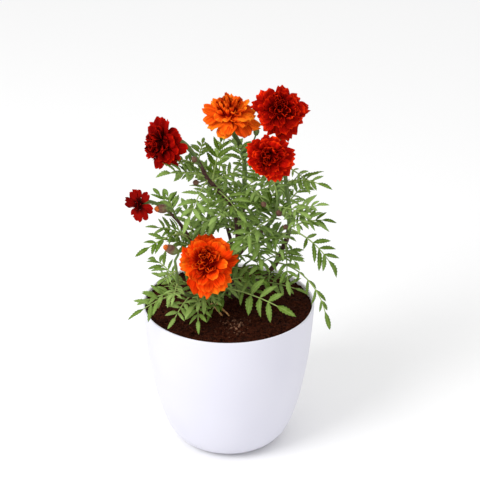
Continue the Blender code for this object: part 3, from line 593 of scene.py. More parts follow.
class Graph:
    """A node tree, with short ways to add nodes and to feed their inputs from values or sockets."""

    column = 4
    step = 220
    blends = ("LINEAR", "SMOOTHSTEP")

    def __init__(self, tree: Tree) -> None:
        """Keeps the tree and counts the nodes, to lay them out in columns."""
        self.tree = tree
        self.count = 0

    def node(self, kind: str, inputs: dict | None = None, **settings: object) -> bpy.types.Node:
        """Adds a node.

        Args:
            kind: The node's type name without the ShaderNode prefix.
            inputs: Values or sockets by input name or number.
            settings: The node's own properties.

        Returns:
            The node.
        """
        made = self.tree.nodes.new("ShaderNode" + kind)
        made.location = (self.step * (self.count // self.column), -self.step * (self.count % self.column))
        self.count += 1
        for name, value in settings.items():
            setattr(made, name, value)
        for key, value in (inputs or {}).items():
            self.feed(made.inputs[key], value)
        return made

    def feed(self, socket: Socket, value: Value) -> None:
        """Joins the socket to another, or sets its value.

        Args:
            socket: The input.
            value: A socket, a colour or a number.
        """
        if isinstance(value, Socket):
            self.tree.links.new(value, socket)
        elif isinstance(value, tuple) and socket.type == "RGBA":
            socket.default_value = (*value[:3], 1.0)
        else:
            socket.default_value = value

    def math(self, operation: str, first: Value, second: Value = 0.0, clamp: bool = False) -> Socket:
        """The result of a Math node on one or two values."""
        return self.node("Math", {0: first, 1: second}, operation=operation, use_clamp=clamp).outputs[0]

    def times(self, first: Value, second: Value) -> Socket:
        """The product of two values."""
        return self.math("MULTIPLY", first, second)

    def off_middle(self, across: Socket) -> Socket:
        """How far a place across the pattern is from the middle, from 0 there to 1 at its edges."""
        return self.times(self.math("ABSOLUTE", self.math("SUBTRACT", across, 0.5)), 2.0)

    def mix(self, share: Value, first: Value, second: Value, blend: str = "MIX") -> Socket:
        """The first colour with a share of the second blended in, and no brighter than white."""
        inputs = {0: share, 6: first, 7: second}
        return self.node("Mix", inputs, data_type="RGBA", blend_type=blend, clamp_result=True).outputs[2]

    def ramp(self, value: Value, low: Value, high: Value, start: float = 0.0, end: float = 1.0,
             smooth: bool = True) -> Socket:
        """The value carried from one range to another, held at the ends."""
        inputs = {"Value": value, "From Min": low, "From Max": high, "To Min": start, "To Max": end}
        return self.node("MapRange", inputs, interpolation_type=self.blends[smooth]).outputs["Result"]

    def even(self, value: Value, start: float, end: float) -> Socket:
        """A value from 0 to 1 carried evenly to another range."""
        return self.ramp(value, 0.0, 1.0, start, end, smooth=False)

    def noise(self, place: Socket, scale: Value, detail: Value) -> Socket:
        """The value of a noise texture."""
        return self.node("TexNoise", {"Vector": place, "Scale": scale, "Detail": detail}).outputs[0]

    def mark(self, name: str) -> Socket:
        """The piece's own mark of that name, as a value."""
        return self.node("Attribute", attribute_name=name).outputs["Fac"]

    def place(self) -> Socket:
        """The place on the object, in metres."""
        return self.node("TexCoord").outputs["Object"]

    def pattern_axes(self) -> tuple[Socket, Socket]:
        """The two coordinates of the piece's own pattern: across or round it, and along it."""
        parts = self.node("SeparateXYZ", {0: self.node("UVMap", uv_map="pattern").outputs[0]})
        return parts.outputs[0], parts.outputs[1]

    def use(self, group: Tree, **inputs: Value) -> bpy.types.NodeOutputs:
        """Places a node group, feeds its inputs, and gives its outputs.

        Args:
            group: The node group.
            inputs: Values or sockets by input name.

        Returns:
            The outputs.
        """
        made = self.node("Group")
        made.node_tree = group
        self.feed_named(made, inputs)
        return made.outputs

    def feed_named(self, node: bpy.types.Node, values: dict[str, Value]) -> None:
        """Feeds a node's inputs, whose names have spaces for the underscores."""
        for label, value in values.items():
            self.feed(node.inputs[label.replace("_", " ")], value)


class Effect(Graph):
    """The graph of a new node group, with the group's input sockets by name as its ends."""

    kinds = {"VALUE": "NodeSocketFloat", "VECTOR": "NodeSocketVector", "RGBA": "NodeSocketColor"}

    def __init__(self, name: str, **inputs: Value) -> None:
        """Makes the group with its inputs.

        Args:
            name: The group's name.
            inputs: The default of each input, a tuple being a colour. Underscores stand for spaces.
        """
        super().__init__(bpy.data.node_groups.new(name, "ShaderNodeTree"))
        for label, default in inputs.items():
            kind = self.kinds["RGBA" if isinstance(default, tuple) else "VALUE"]
            socket = self.tree.interface.new_socket(label.replace("_", " "), in_out="INPUT",
                                                    socket_type=kind)
            socket.default_value = (*default, 1.0) if isinstance(default, tuple) else default
        entry = self.tree.nodes.new("NodeGroupInput")
        entry.location = (-self.step, 0)
        self.ends = dict(zip(inputs, entry.outputs))

    def give(self, **outputs: Socket) -> Tree:
        """Makes the group's outputs, each of its socket's kind, and gives the group itself.

        Args:
            outputs: The sockets by output name.

        Returns:
            The group.
        """
        for label, socket in outputs.items():
            self.tree.interface.new_socket(label, in_out="OUTPUT", socket_type=self.kinds[socket.type])
        exit_node = self.tree.nodes.new("NodeGroupOutput")
        exit_node.location = (self.step * (self.count // self.column + 1), 0)
        self.feed_named(exit_node, outputs)
        return self.tree


class Effects:
    """The effects that several finishes share, each a node group that is built once."""

    def __init__(self) -> None:
        """Builds the groups."""
        self.mottle = self.build_mottle()
        self.grain = self.build_grain()
        self.veins = self.build_veins()
        self.petal_colour = self.build_petal_colour()

    def relief(self, graph: Graph, height: Socket, strength: float, depth: float, size: float,
               invert: bool = False) -> Socket:
        """Relief on top of the fine grain.

        Args:
            graph: The finish's graph.
            height: What rises, from 0 to 1.
            strength: How much of it shows.
            depth: How high it rises, in metres.
            size: The size of the grain, in metres.
            invert: Whether it sinks instead.

        Returns:
            The normal.
        """
        grain = graph.use(self.grain, Size=size, Height=0.0001)[0]
        inputs = {"Strength": strength, "Distance": depth, "Height": height, "Normal": grain}
        return graph.node("Bump", inputs, invert=invert).outputs[0]

    def build_mottle(self) -> Tree:
        """Soft patches of a given size: noise at the object's own place, spread from a low to a high.

        Returns:
            The group.
        """
        group = Effect("mottle", Size=0.005, Low=0.4, High=0.6, Detail=2.0)
        scale = group.math("DIVIDE", 1.0, group.ends["Size"])
        noise = group.noise(group.place(), scale, group.ends["Detail"])
        return group.give(Mask=group.ramp(noise, group.ends["Low"], group.ends["High"], smooth=False))

    def build_grain(self) -> Tree:
        """Fine relief as a normal: noise of a given size raised by a given height.

        Returns:
            The group.
        """
        group = Effect("grain", Size=0.001, Height=0.0002, Strength=0.4)
        noise = group.noise(group.place(), group.math("DIVIDE", 1.0, group.ends["Size"]), 3.0)
        inputs = {"Strength": group.ends["Strength"], "Distance": group.ends["Height"], "Height": noise}
        return group.give(Normal=group.node("Bump", inputs).outputs[0])

    def build_veins(self) -> Tree:
        """A leaflet's veins: a line up its middle, and side lines that slant forward at even steps.

        Returns:
            The group.
        """
        group = Effect("veins", Steps=7.0, Slant=0.35, Middle_Width=0.06, Side_Width=0.12)
        across, along = group.pattern_axes()
        off = group.off_middle(across)
        run = group.math("SUBTRACT", along, group.times(off, group.ends["Slant"]))
        step = group.math("FRACT", group.times(run, group.ends["Steps"]))
        near = group.math("ABSOLUTE", group.math("SUBTRACT", step, 0.5))
        return group.give(Middle=group.ramp(off, 0.0, group.ends["Middle_Width"], 1.0, 0.0),
                          Sides=group.ramp(near, 0.0, group.ends["Side_Width"], 1.0, 0.0))

    def build_petal_colour(self) -> Tree:
        """A petal's colour: heart at its root and in the inner rows, then face, and edge along its rim.

        Streaks run along it, and the underside is a duller face. A darker petal is redder, and a lighter
        one more orange. The heart is partly the petal's own deep colour and partly painted shade at its
        root, and the edge partly its own lighter rim and partly a painted highlight. The second output is
        the streaks alone.

        Returns:
            The group.
        """
        group = Effect("petal_colour", Face=(0.6, 0.02, 0.0), Edge=(0.8, 0.05, 0.0), Heart=(0.2, 0.0, 0.0),
                       Back=(0.5, 0.02, 0.0), Heart_Reach=0.5, Edge_Width=0.3)
        ends = group.ends
        across, along = group.pattern_axes()
        tone = group.mark("tone")
        stretch = {0: group.times(across, 16.0), 1: group.times(along, 1.6), 2: group.times(tone, 37.0)}
        place = group.node("CombineXYZ", stretch).outputs[0]
        streaks = group.ramp(group.noise(place, 1.0, 2.0), 0.34, 0.66)
        rim = group.math("MAXIMUM", group.times(group.off_middle(across), along), along)
        # The lighter edge: partly the petal's own rim colour and partly a painted highlight.
        edge = group.ramp(rim, group.math("SUBTRACT", 1.0, ends["Edge_Width"]), 1.0)
        # The deep heart at the root and in the inner rows: partly the petal's own colour and partly painted
        # shade.
        depth = group.math("ADD", group.math("SUBTRACT", 1.0, along), group.times(group.mark("row"), 0.55))
        heart_end = group.math("ADD", ends["Heart_Reach"], 0.45)
        heart = group.ramp(depth, heart_end, ends["Heart_Reach"], 1.0, 0.0)
        face = group.mix(group.times(heart, 0.95), ends["Face"], ends["Heart"])
        face = group.mix(group.times(edge, 0.75), face, ends["Edge"])
        face = group.mix(group.mark("underside"), face, group.mix(0.5, face, ends["Back"]))
        shade = group.times(group.even(streaks, 0.78, 1.12), group.even(tone, 0.66, 1.36))
        redder = group.math("POWER", shade, 1.8)
        grey = group.node("CombineColor", {0: shade, 1: redder, 2: redder}).outputs[0]
        return group.give(Colour=group.mix(1.0, face, grey, "MULTIPLY"), Streaks=streaks)


# Finishes

class Skin(Graph):
    """The graph of a new material, which ends in its Principled shader."""

    def __init__(self, name: str, **values: Value) -> None:
        """Makes the material, with plain values set on the shader's own sockets.

        Args:
            name: The material's name.
            values: The plain values by input name.
        """
        self.material = bpy.data.materials.new(name)
        self.material.use_nodes = True
        super().__init__(self.material.node_tree)
        self.cover(**values)

    def cover(self, **values: Value) -> Material:
        """Feeds the shader's inputs by name, and gives the material."""
        self.feed_named(self.tree.nodes["Principled BSDF"], values)
        return self.material


@dataclass(frozen=True)
class PotFinish:
    """Satin white plastic, a little lavender, with faint clouding, the inside of the rim painted whiter as
    painted light, and a dusting of peat at the rim.
    """

    white: Colour = (0.68, 0.675, 0.755)
    cloud: Colour = (0.65, 0.645, 0.735)
    inner_wall_painted_light: Colour = (0.93, 0.92, 0.94)
    dust: Colour = (0.22, 0.13, 0.09)

    def build(self, effects: Effects) -> Material:
        """The material, from the shared mottle and grain.

        Args:
            effects: The shared groups.

        Returns:
            The material.
        """
        skin = Skin("satin_white", Specular_IOR_Level=0.4)
        clouds = skin.use(effects.mottle, Size=0.045, Low=0.35, High=0.7, Detail=1.0)[0]
        specks = skin.use(effects.mottle, Size=0.0016, Low=0.66, High=0.72, Detail=1.0)[0]
        parts = skin.node("SeparateXYZ", {0: skin.place()}).outputs
        near_rim = skin.ramp(parts[2], 0.124, 0.131)
        squares = [skin.times(part, part) for part in parts[:2]]
        inside = skin.ramp(skin.math("SQRT", skin.math("ADD", *squares)), 0.0752, 0.0743)
        # The inside of the wall near the rim: where the painted light and the real peat dust go.
        inner_rim_light_and_dust = skin.times(near_rim, inside)
        colour = skin.mix(skin.times(clouds, 0.5), self.white, self.cloud)
        # Painted light: the inside of the wall near the rim is painted whiter than the pot, to lift the
        # shade that falls there.
        colour = skin.mix(inner_rim_light_and_dust, colour, self.inner_wall_painted_light)
        return skin.cover(Base_Color=skin.mix(skin.times(specks, inner_rim_light_and_dust), colour, self.dust),
                          Roughness=skin.even(clouds, 0.34, 0.44),
                          Normal=skin.use(effects.grain, Size=0.0011, Height=0.00004)[0])


@dataclass(frozen=True)
class PeatFinish:
    """Dark brown peat: darker patches, reddish fibres, and tan where the mark for a dry clod is set."""

    dark: Colour = (0.007, 0.0012, 0.0006)
    brown: Colour = (0.046, 0.010, 0.004)
    fibre: Colour = (0.14, 0.045, 0.020)
    tan: Colour = (0.32, 0.165, 0.10)

    def build(self, effects: Effects) -> Material:
        """The material, from the shared mottle and grain.

        Args:
            effects: The shared groups.

        Returns:
            The material.
        """
        skin = Skin("peat", Roughness=0.95, Specular_IOR_Level=0.04)
        coarse = skin.use(effects.mottle, Size=0.003, Low=0.36, High=0.66, Detail=4.0)[0]
        fine = skin.use(effects.mottle, Size=0.001, Low=0.55, High=0.70, Detail=3.0)[0]
        colour = skin.mix(coarse, self.dark, self.brown)
        colour = skin.mix(skin.times(fine, 0.6), colour, self.fibre)
        dry = skin.times(skin.mark("dry"), skin.even(coarse, 0.45, 1.0))
        return skin.cover(Base_Color=skin.mix(dry, colour, self.tan),
                          Normal=skin.use(effects.grain, Size=0.0009, Height=0.0009, Strength=0.9)[0])


@dataclass(frozen=True)
class BarkFinish:
    """A stem's skin: purple brown up to the mark for green, with pale ribs along it and dark flecks."""

    name: str
    bark: Colour = (0.045, 0.014, 0.013)
    worn: Colour = (0.12, 0.06, 0.045)
    green: Colour = (0.10, 0.17, 0.035)
    pale: Colour = (0.22, 0.32, 0.10)

    def build(self, effects: Effects) -> Material:
        """The material, from the shared mottle and grain.

        Args:
            effects: The shared groups.

        Returns:
            The material.
        """
        skin = Skin(self.name, Roughness=0.55, Specular_IOR_Level=0.3)
        patches = skin.use(effects.mottle, Size=0.003, Low=0.38, High=0.66, Detail=3.0)[0]
        around, _ = skin.pattern_axes()
        ribs = skin.ramp(skin.math("SINE", skin.times(around, 40.0)), 0.2, 1.0)
        dark = skin.mix(skin.times(patches, 0.7), self.bark, self.worn)
        fresh = skin.mix(skin.times(ribs, 0.55), self.green, self.pale)
        fresh = skin.mix(skin.times(patches, 0.25), fresh, self.worn)
        shift = skin.even(patches, -0.12, 0.12)
        greenness = skin.ramp(skin.math("ADD", skin.mark("green"), shift), 0.25, 0.75)
        return skin.cover(Base_Color=skin.mix(greenness, dark, fresh),
                          Normal=skin.use(effects.grain, Size=0.0008, Height=0.0003)[0])


@dataclass(frozen=True)
class LeafFinish:
    """A leaflet's skin: greens that differ from leaf to leaf at random and are darker on leaves that point
    backward as painted shade, pale middle veins and ribs, darker side veins, and a grey underside.
    """

    light: Colour = (0.30, 0.44, 0.12)
    deep: Colour = (0.078, 0.145, 0.006)
    vein: Colour = (0.38, 0.50, 0.15)
    under: Colour = (0.23, 0.33, 0.10)
    rust: Colour = (0.30, 0.10, 0.03)

    def build(self, effects: Effects) -> Material:
        """The material, from the shared mottle, grain and veins.

        Args:
            effects: The shared groups.

        Returns:
            The material.
        """
        skin = Skin("leaf_skin", Roughness=0.65, Specular_IOR_Level=0.06)
        tone = skin.mark("tone")
        patches = skin.use(effects.mottle, Size=0.0045, Low=0.35, High=0.7, Detail=2.0)[0]
        veins = skin.use(effects.veins, Steps=8.0, Slant=0.3, Middle_Width=0.12, Side_Width=0.16)
        # The tone is drawn for each leaf and is lower on leaves that point backward: painted shade for the
        # back of the plant.
        blend = skin.math("ADD", tone, skin.even(patches, -0.14, 0.14), clamp=True)
        top = skin.mix(blend, self.deep, self.light)
        top = skin.mix(skin.times(veins["Sides"], 0.16), top, self.deep)
        top = skin.mix(skin.times(veins["Middle"], 0.55), top, self.vein)
        _, along = skin.pattern_axes()
        burnt = skin.times(skin.ramp(along, 0.93, 1.0), skin.ramp(tone, 0.55, 0.7))
        top = skin.mix(skin.times(burnt, 0.3), top, self.rust)
        below = skin.mix(skin.times(tone, 0.4), self.under, self.deep)
        colour = skin.mix(skin.mark("underside"), top, below)
        return skin.cover(Base_Color=skin.mix(skin.mark("rib"), colour, self.vein),
                          Normal=effects.relief(skin, veins["Sides"], 0.5, 0.0003, 0.0006, invert=True))


@dataclass(frozen=True)
class PetalFinish:
    """Velvety petals: a face, a lighter edge that is partly a painted highlight, a deep heart that is
    partly painted shade, a duller back, and the record's slot.
    """

    name: str
    slot: str
    face: Colour
    edge: Colour
    heart: Colour
    back: Colour
    heart_reach: float
    edge_width: float

    def build(self, effects: Effects) -> Material:
        """The material, from the shared petal colour and grain.

        Args:
            effects: The shared groups.

        Returns:
            The material.
        """
        skin = Skin(self.name, Roughness=0.8, Specular_IOR_Level=0.02)
        colour = skin.use(effects.petal_colour, Face=self.face, Edge=self.edge, Heart=self.heart,
                          Back=self.back, Heart_Reach=self.heart_reach, Edge_Width=self.edge_width)
        return skin.cover(Base_Color=colour["Colour"],
                          Normal=effects.relief(skin, colour["Streaks"], 0.45, 0.0004, 0.0005))


# Each finish's edge is partly the petals' own rim colour and partly a painted highlight, and its heart
# partly their own deep colour and partly painted shade at the roots.
HEAD_FINISHES = {
    "left": PetalFinish(
        "velvet_wine_red", "petal_dark_red", face=(0.27, 0.002, 0.001), edge=(0.56, 0.010, 0.001),
        heart=(0.07, 0.0, 0.0), back=(0.20, 0.002, 0.001), heart_reach=0.42, edge_width=0.16),
    "top": PetalFinish(
        "velvet_orange", "petal_orange", face=(1.0, 0.135, 0.006), edge=(1.0, 0.21, 0.012),
        heart=(0.40, 0.005, 0.001), back=(0.72, 0.05, 0.003), heart_reach=0.56, edge_width=0.2),
    "right": PetalFinish(
        "velvet_dark_red", "petal_dark_red", face=(0.38, 0.004, 0.001), edge=(0.84, 0.03, 0.002),
        heart=(0.19, 0.001, 0.0), back=(0.27, 0.003, 0.001), heart_reach=0.42, edge_width=0.18),
    "middle": PetalFinish(
        "velvet_bright_red", "petal_dark_red", face=(0.40, 0.004, 0.001), edge=(0.90, 0.036, 0.002),
        heart=(0.20, 0.001, 0.0), back=(0.30, 0.004, 0.001), heart_reach=0.42, edge_width=0.18),
    "front": PetalFinish(
        "velvet_orange_red", "petal_orange_red", face=(1.0, 0.058, 0.002), edge=(1.0, 0.15, 0.008),
        heart=(0.30, 0.002, 0.001), back=(0.62, 0.020, 0.002), heart_reach=0.45, edge_width=0.24),
    "far_left": PetalFinish(
        "velvet_black_red", "petal_dark_red", face=(0.20, 0.002, 0.001), edge=(0.34, 0.005, 0.001),
        heart=(0.02, 0.0, 0.0), back=(0.15, 0.002, 0.001), heart_reach=0.56, edge_width=0.16),
}
BUD_FINISH = PetalFinish(
    "velvet_bud_orange", "petal_orange_red", face=(0.48, 0.10, 0.020), edge=(0.80, 0.26, 0.05),
    heart=(0.19, 0.045, 0.015), back=(0.4, 0.08, 0.02), heart_reach=0.5, edge_width=0.35)


# Pot and soil

@dataclass
class Pot:
    """The thin egg-shaped pot: its outside from the underside up to the rim, its wall and its low feet."""

    outside: Line = ((33.0, 0.0), (43.0, 3.0), (50.0, 8.0), (57.0, 19.5), (65.0, 46.0), (71.8, 84.0),
                     (75.0, 118.0), (76.0, 135.0))
    underside_radius: float = 16.0
    wall: float = 2.0
    floor: float = 3.0
    floor_rounding: float = 1.0
    rim_roll: float = 1.0
    rim_steps: int = 9
    sides: int = 144
    foot_size: Pair = (18.0, 5.0)
    foot_levels: Line = ((0.15, 0.95), (0.4, 1.0), (0.95, 1.0), (2.85, 1.0))
    foot_sides: int = 24
    foot_radius: float = 34.0
    foot_headings: Numbers = (-96.0, -6.0, 84.0, 174.0)

    def outer_line(self) -> Array:
        """The outside's radius and height as a smooth curve up to just under the rim."""
        line = smooth_route(np.array(self.outside), 8)
        return line[line[:, 1] < self.outside[-1][1] - self.rim_roll]

    def inner_line(self) -> Array:
        """The outside moved in by the wall along its normal, from just above the floor up.

        Returns:
            Radius and height, one point a row.
        """
        outer = self.outer_line()
        along = unit(np.gradient(outer, axis=0))
        inner = outer + self.wall * np.stack([-along[:, 1], along[:, 0]], axis=1)
        return inner[inner[:, 1] > self.floor + self.floor_rounding]

    def profile(self) -> Array:
        """The whole outline: underside, outside, a rolled rim as a half circle, inside and floor.

        Returns:
            Radius and height, one point a row.
        """
        top_radius, top = self.outside[-1]
        turn = np.linspace(0.0, math.pi, self.rim_steps)
        rim = np.stack([top_radius - self.rim_roll * (1.0 - np.cos(turn)),
                        top - self.rim_roll * (1.0 - np.sin(turn))], axis=1)
        underside = [(0.0, 0.0), (self.underside_radius, 0.0)]
        floor = [(self.outside[0][0], self.floor), (0.0, self.floor)]
        return np.vstack([underside, self.outer_line(), rim, self.inner_line()[::-1], floor])

    def foot(self, heading: float) -> Surface:
        """A low block with rounded corners under the pot's rounding: a superellipse swept up and eased in.

        Args:
            heading: The direction in which the foot lies, in degrees.

        Returns:
            The foot.
        """
        out = heading_direction(heading, 0)
        side = np.cross(UP, out)
        angles = ring_angles(self.foot_sides)
        circle = np.stack([np.cos(angles), np.sin(angles)], -1)
        bend = 0.5 * np.array(self.foot_size) * np.sign(circle) * np.sqrt(np.abs(circle))
        heights, ease = np.array(self.foot_levels).T
        path = self.foot_radius * out + heights[:, None] * UP
        rings = path[:, None] + ease[:, None, None] * (bend[:, :1] * side + bend[:, 1:] * out)
        block = swept_tube(path, np.ones(len(path)), self.foot_sides)
        block.points = np.vstack([rings.reshape(-1, 3), rings[0].mean(axis=0), rings[-1].mean(axis=0)])
        return block

    def dress(self, finish: Material) -> None:
        """Makes the pot with its feet."""
        parts = [turned_surface(self.profile(), self.sides), *map(self.foot, self.foot_headings)]
        make_piece("pot_shell", join_surfaces(parts), finish, "pot_white", "pot")


@dataclass
class Soil:
    """The peat: a low lumpy mound up to the wall, with loose crumbs and dry clods lying on it.

    Each pair of sizes is raised to a power after its draw, so that most grains are small.
    """

    edge_height: float = 128.5
    mound: float = 4.0
    rim_radius: float = 76.0
    edge_radius: float = 73.3
    under: Line = ((73.4, 118.0), (70.0, 84.0), (55.0, 20.0), (31.0, 3.6), (0.0, 3.6))
    unset: float = 100.0
    rings: int = 74
    sides: int = 220
    lump: float = 0.9
    fine_lump: float = 0.5
    bank: float = 4.4
    bank_from: float = 0.90
    bank_width: float = 0.10
    crumbs: int = 520
    crumb_sizes: Pair = (0.35, 1.3)
    wall_crumbs: int = 260
    wall_crumb_size: float = 0.7
    clods: int = 96
    clod_centre: Pair = (4.0, -38.0)
    clod_spread: Pair = (6.3, 7.7)
    clod_sizes: Pair = (0.55, 1.12)
    grain_heights: Numbers = (-0.95, -0.6, 0.0, 0.6, 0.95)
    grain_radii: Numbers = (0.3, 0.8, 1.0, 0.8, 0.3)
    grain_stretch: Pair = (0.5, 1.3)
    grain_push: float = 0.4

    def height(self, x: Array, y: Array) -> Array:
        """The solid's own surface: a mound that falls with the square of the reach, and crossed waves.

        Args:
            x: The places along X.
            y: The places along Y.

        Returns:
            The heights there.
        """
        reach = np.hypot(x, y) / self.rim_radius
        waves = 0.7 * np.sin(0.17 * x + 1.0) * np.cos(0.15 * y) + 0.5 * np.sin(0.31 * x - 0.23 * y + 2.0)
        return self.edge_height + self.mound * (1.0 - reach**2) + waves * (1.0 - 0.5 * reach)

    def lumpy_height(self, x: Array, y: Array) -> Array:
        """The surface with noise of three sizes, and a ragged bank that climbs a little up the wall.

        Args:
            x: The places along X.
            y: The places along Y.

        Returns:
            The heights there.
        """
        places = np.stack([x, y, np.zeros_like(x)], -1)
        coarse, fine = lattice_noise(places, 7.5, 1), lattice_noise(places, 3.4, 2)
        lumps = self.lump * coarse + self.lump * np.abs(fine)
        reach = np.hypot(x, y) / self.edge_radius
        edge = np.clip((reach - self.bank_from) / self.bank_width, 0.0, 1.0) ** 2
        bank = self.bank * edge * (0.5 + 0.5 * lattice_noise(places, 5.0, 4))
        return self.height(x, y) + lumps + bank + self.fine_lump * lattice_noise(places, 1.5, 3)

    def ground(self) -> Surface:
        """The filled body: rings from the middle out over the top, then down inside the wall.

        The profile gives each ring of the top the unset height, by which its points are found again.

        Returns:
            The body.
        """
        top = [(reach, self.unset) for reach in np.linspace(0.0, self.edge_radius, self.rings)]
        body = turned_surface(np.array(top + list(self.under))[::-1], self.sides)
        on_top = body.points[:, 2] == self.unset
        x, y = body.points[on_top, 0], body.points[on_top, 1]
        body.points[on_top, 2] = self.lumpy_height(x, y)
        return body

    def lumps(self, centres: Array, sizes: Array, seed: int) -> Surface:
        """Small rounded grains: each a coarse ball, squashed, turned, and pushed in and out by noise.

        Args:
            centres: The grains' places.
            sizes: Their radii.
            seed: Picks the noise and the turns.

        Returns:
            The grains.
        """
        draw = np.random.default_rng(seed)
        ball = swept_tube(np.array(self.grain_heights)[:, None] * UP, np.array(self.grain_radii), 7)
        stretch = draw.uniform(*self.grain_stretch, (len(sizes), 1, 3))
        turn = draw.uniform(0.0, 2 * math.pi, len(sizes))
        spin = np.zeros((len(sizes), 3, 3))
        spin[:, 0, 0] = spin[:, 1, 1] = np.cos(turn)
        spin[:, 1, 0] = np.sin(turn)
        spin[:, 0, 1] = -spin[:, 1, 0]
        spin[:, 2, 2] = 1.0
        points = (ball.points[None] * stretch) @ spin
        points = centres[:, None] + points * sizes[:, None, None]
        push = self.grain_push * lattice_noise(points, 0.8, seed) * sizes[:, None]
        points = points + push[..., None] * unit(points - centres[:, None])
        offsets = len(ball.points) * np.arange(len(sizes))[:, None, None]
        return Surface(points.reshape(-1, 3), (ball.quads[None] + offsets).reshape(-1, 4),
                       (ball.triangles[None] + offsets).reshape(-1, 3), np.tile(ball.uv, (len(sizes), 1)))

    def loose_crumbs(self, draw: np.random.Generator) -> Surface:
        """Crumbs all over the top, and smaller ones that lie against the wall.

        Args:
            draw: The source of their places and sizes.

        Returns:
            The crumbs.
        """
        everywhere = (self.edge_radius - 1.5) * np.sqrt(draw.uniform(0.0, 1.0, self.crumbs))
        reach = np.concatenate([everywhere, np.full(self.wall_crumbs, self.edge_radius - 0.4)])
        turn = draw.uniform(0.0, 2 * math.pi, len(reach))
        x, y = reach * np.cos(turn), reach * np.sin(turn)
        sizes = draw.uniform(*self.crumb_sizes, len(reach)) ** 1.4
        sizes[self.crumbs:] *= self.wall_crumb_size
        up = 0.1 * sizes
        up[self.crumbs:] += draw.uniform(0.0, 1.8, self.wall_crumbs)
        return self.lumps(np.stack([x, y, self.lumpy_height(x, y) + up], -1), sizes, 21)

    def dry_clods(self, draw: np.random.Generator) -> Surface:
        """Clods in a heap before the crown, marked with how dry each one is.

        Args:
            draw: The source of their places and sizes.

        Returns:
            The clods.
        """
        x, y = (middle + spread * draw.normal(0.0, 1.0, self.clods)
                for middle, spread in zip(self.clod_centre, self.clod_spread))
        sizes = draw.uniform(*self.clod_sizes, self.clods) ** 2
        clods = self.lumps(np.stack([x, y, self.lumpy_height(x, y) + 0.35 * sizes], -1), sizes, 22)
        dry = draw.uniform(0.0, 1.0, self.clods) ** 1.5
        return clods.marked(dry=np.repeat(dry, len(clods.points) // self.clods))

    def dress(self, finish: Material) -> None:
        """Makes the ground, its crumbs and its dry clods as one piece.

        Args:
            finish: The material.
        """
        draw = np.random.default_rng(11)
        crumbs = self.loose_crumbs(draw)
        peat = join_surfaces([self.ground(), crumbs, self.dry_clods(draw)])
        make_piece("peat", peat, finish, "soil_brown", "soil")


@dataclass
class DriedRoots:
    """Two old bent roots on the peat before the crown."""

    routes: tuple[Line, ...] = (((-15, -4), (-12.5, -10), (-9, -18), (-5.5, -26)),
                                ((-9.5, -5), (-6.5, -11), (-2.5, -19), (0.5, -26)))
    radii: Numbers = (1.15, 1.05)
    lift: float = 1.3
    wave: float = 0.4
    taper: float = 0.45
    knot: float = 0.18

    def dress(self, soil: Soil, finish: Material) -> None:
        """Makes each root as a thin tube that narrows, with sine waves for its rise and its knots.

        Args:
            soil: The peat that they lie on.
            finish: The material.
        """
        for number, (plan, radius) in enumerate(zip(self.routes, self.radii)):
            path = smooth_route(np.array([(x, y, 0.0) for x, y in plan]), 12)
            path[:, 2] = soil.height(path[:, 0], path[:, 1]) + radius + self.lift
            share = np.linspace(0.0, 1.0, len(path))
            path[:, 2] += self.wave * np.sin(9.0 * share + number)
            thick = radius * (1.0 - self.taper * share)
            thick = thick * (1.0 + self.knot * np.sin(23.0 * share + 2.0 * number))
            root = swept_tube(path, thick, 10).marked(green=0.0)
            make_piece(f"old_root_{number + 1}", root, finish, "dried_root", f"dried_root_{number + 1}")


# Stems

@dataclass
class MainStem:
    """The woody main stem: its route and its radii, and the ridges of its bark."""

    route: tuple[Place, ...] = ((4, 12, 118), (4.5, 12, 150), (7.5, 14, 180), (11, 16, 204))
    radii: Pair = (3.4, 2.3)
    sides: int = 20
    ridge: float = 0.05
    fine_ridge: float = 0.03
    knot: float = 0.06

    def centre_at(self, heights: Array) -> Array:
        """The stem's centre at each height, from its route."""
        path = smooth_route(np.array(self.route, float), 6)
        return read_between(heights, path[:, 2], path[:, :2])

    def radius_at(self, heights: Array) -> Array:
        """The stem's radius at each height."""
        return np.interp(heights, [self.route[0][2], self.route[-1][2]], self.radii)

    def dress(self, finish: Material) -> None:
        """Makes the stem: a tube whose radius rises and falls as cosines round it and as a sine up it.

        Args:
            finish: The material.
        """
        path = smooth_route(np.array(self.route, float), 16)
        plain = np.linspace(*self.radii, len(path))
        angles = ring_angles(self.sides)
        ridges = self.ridge * np.cos(5 * angles)[None] + self.fine_ridge * np.cos(9 * angles + 1.0)[None]
        knots = self.knot * np.sin(path[:, 2] * 0.45)[:, None]
        trunk = swept_tube(path, plain[:, None] * (1.0 + ridges + knots), self.sides)
        make_piece("woody_stem", trunk.marked(green=0.0), finish, "bark", "main_stem")


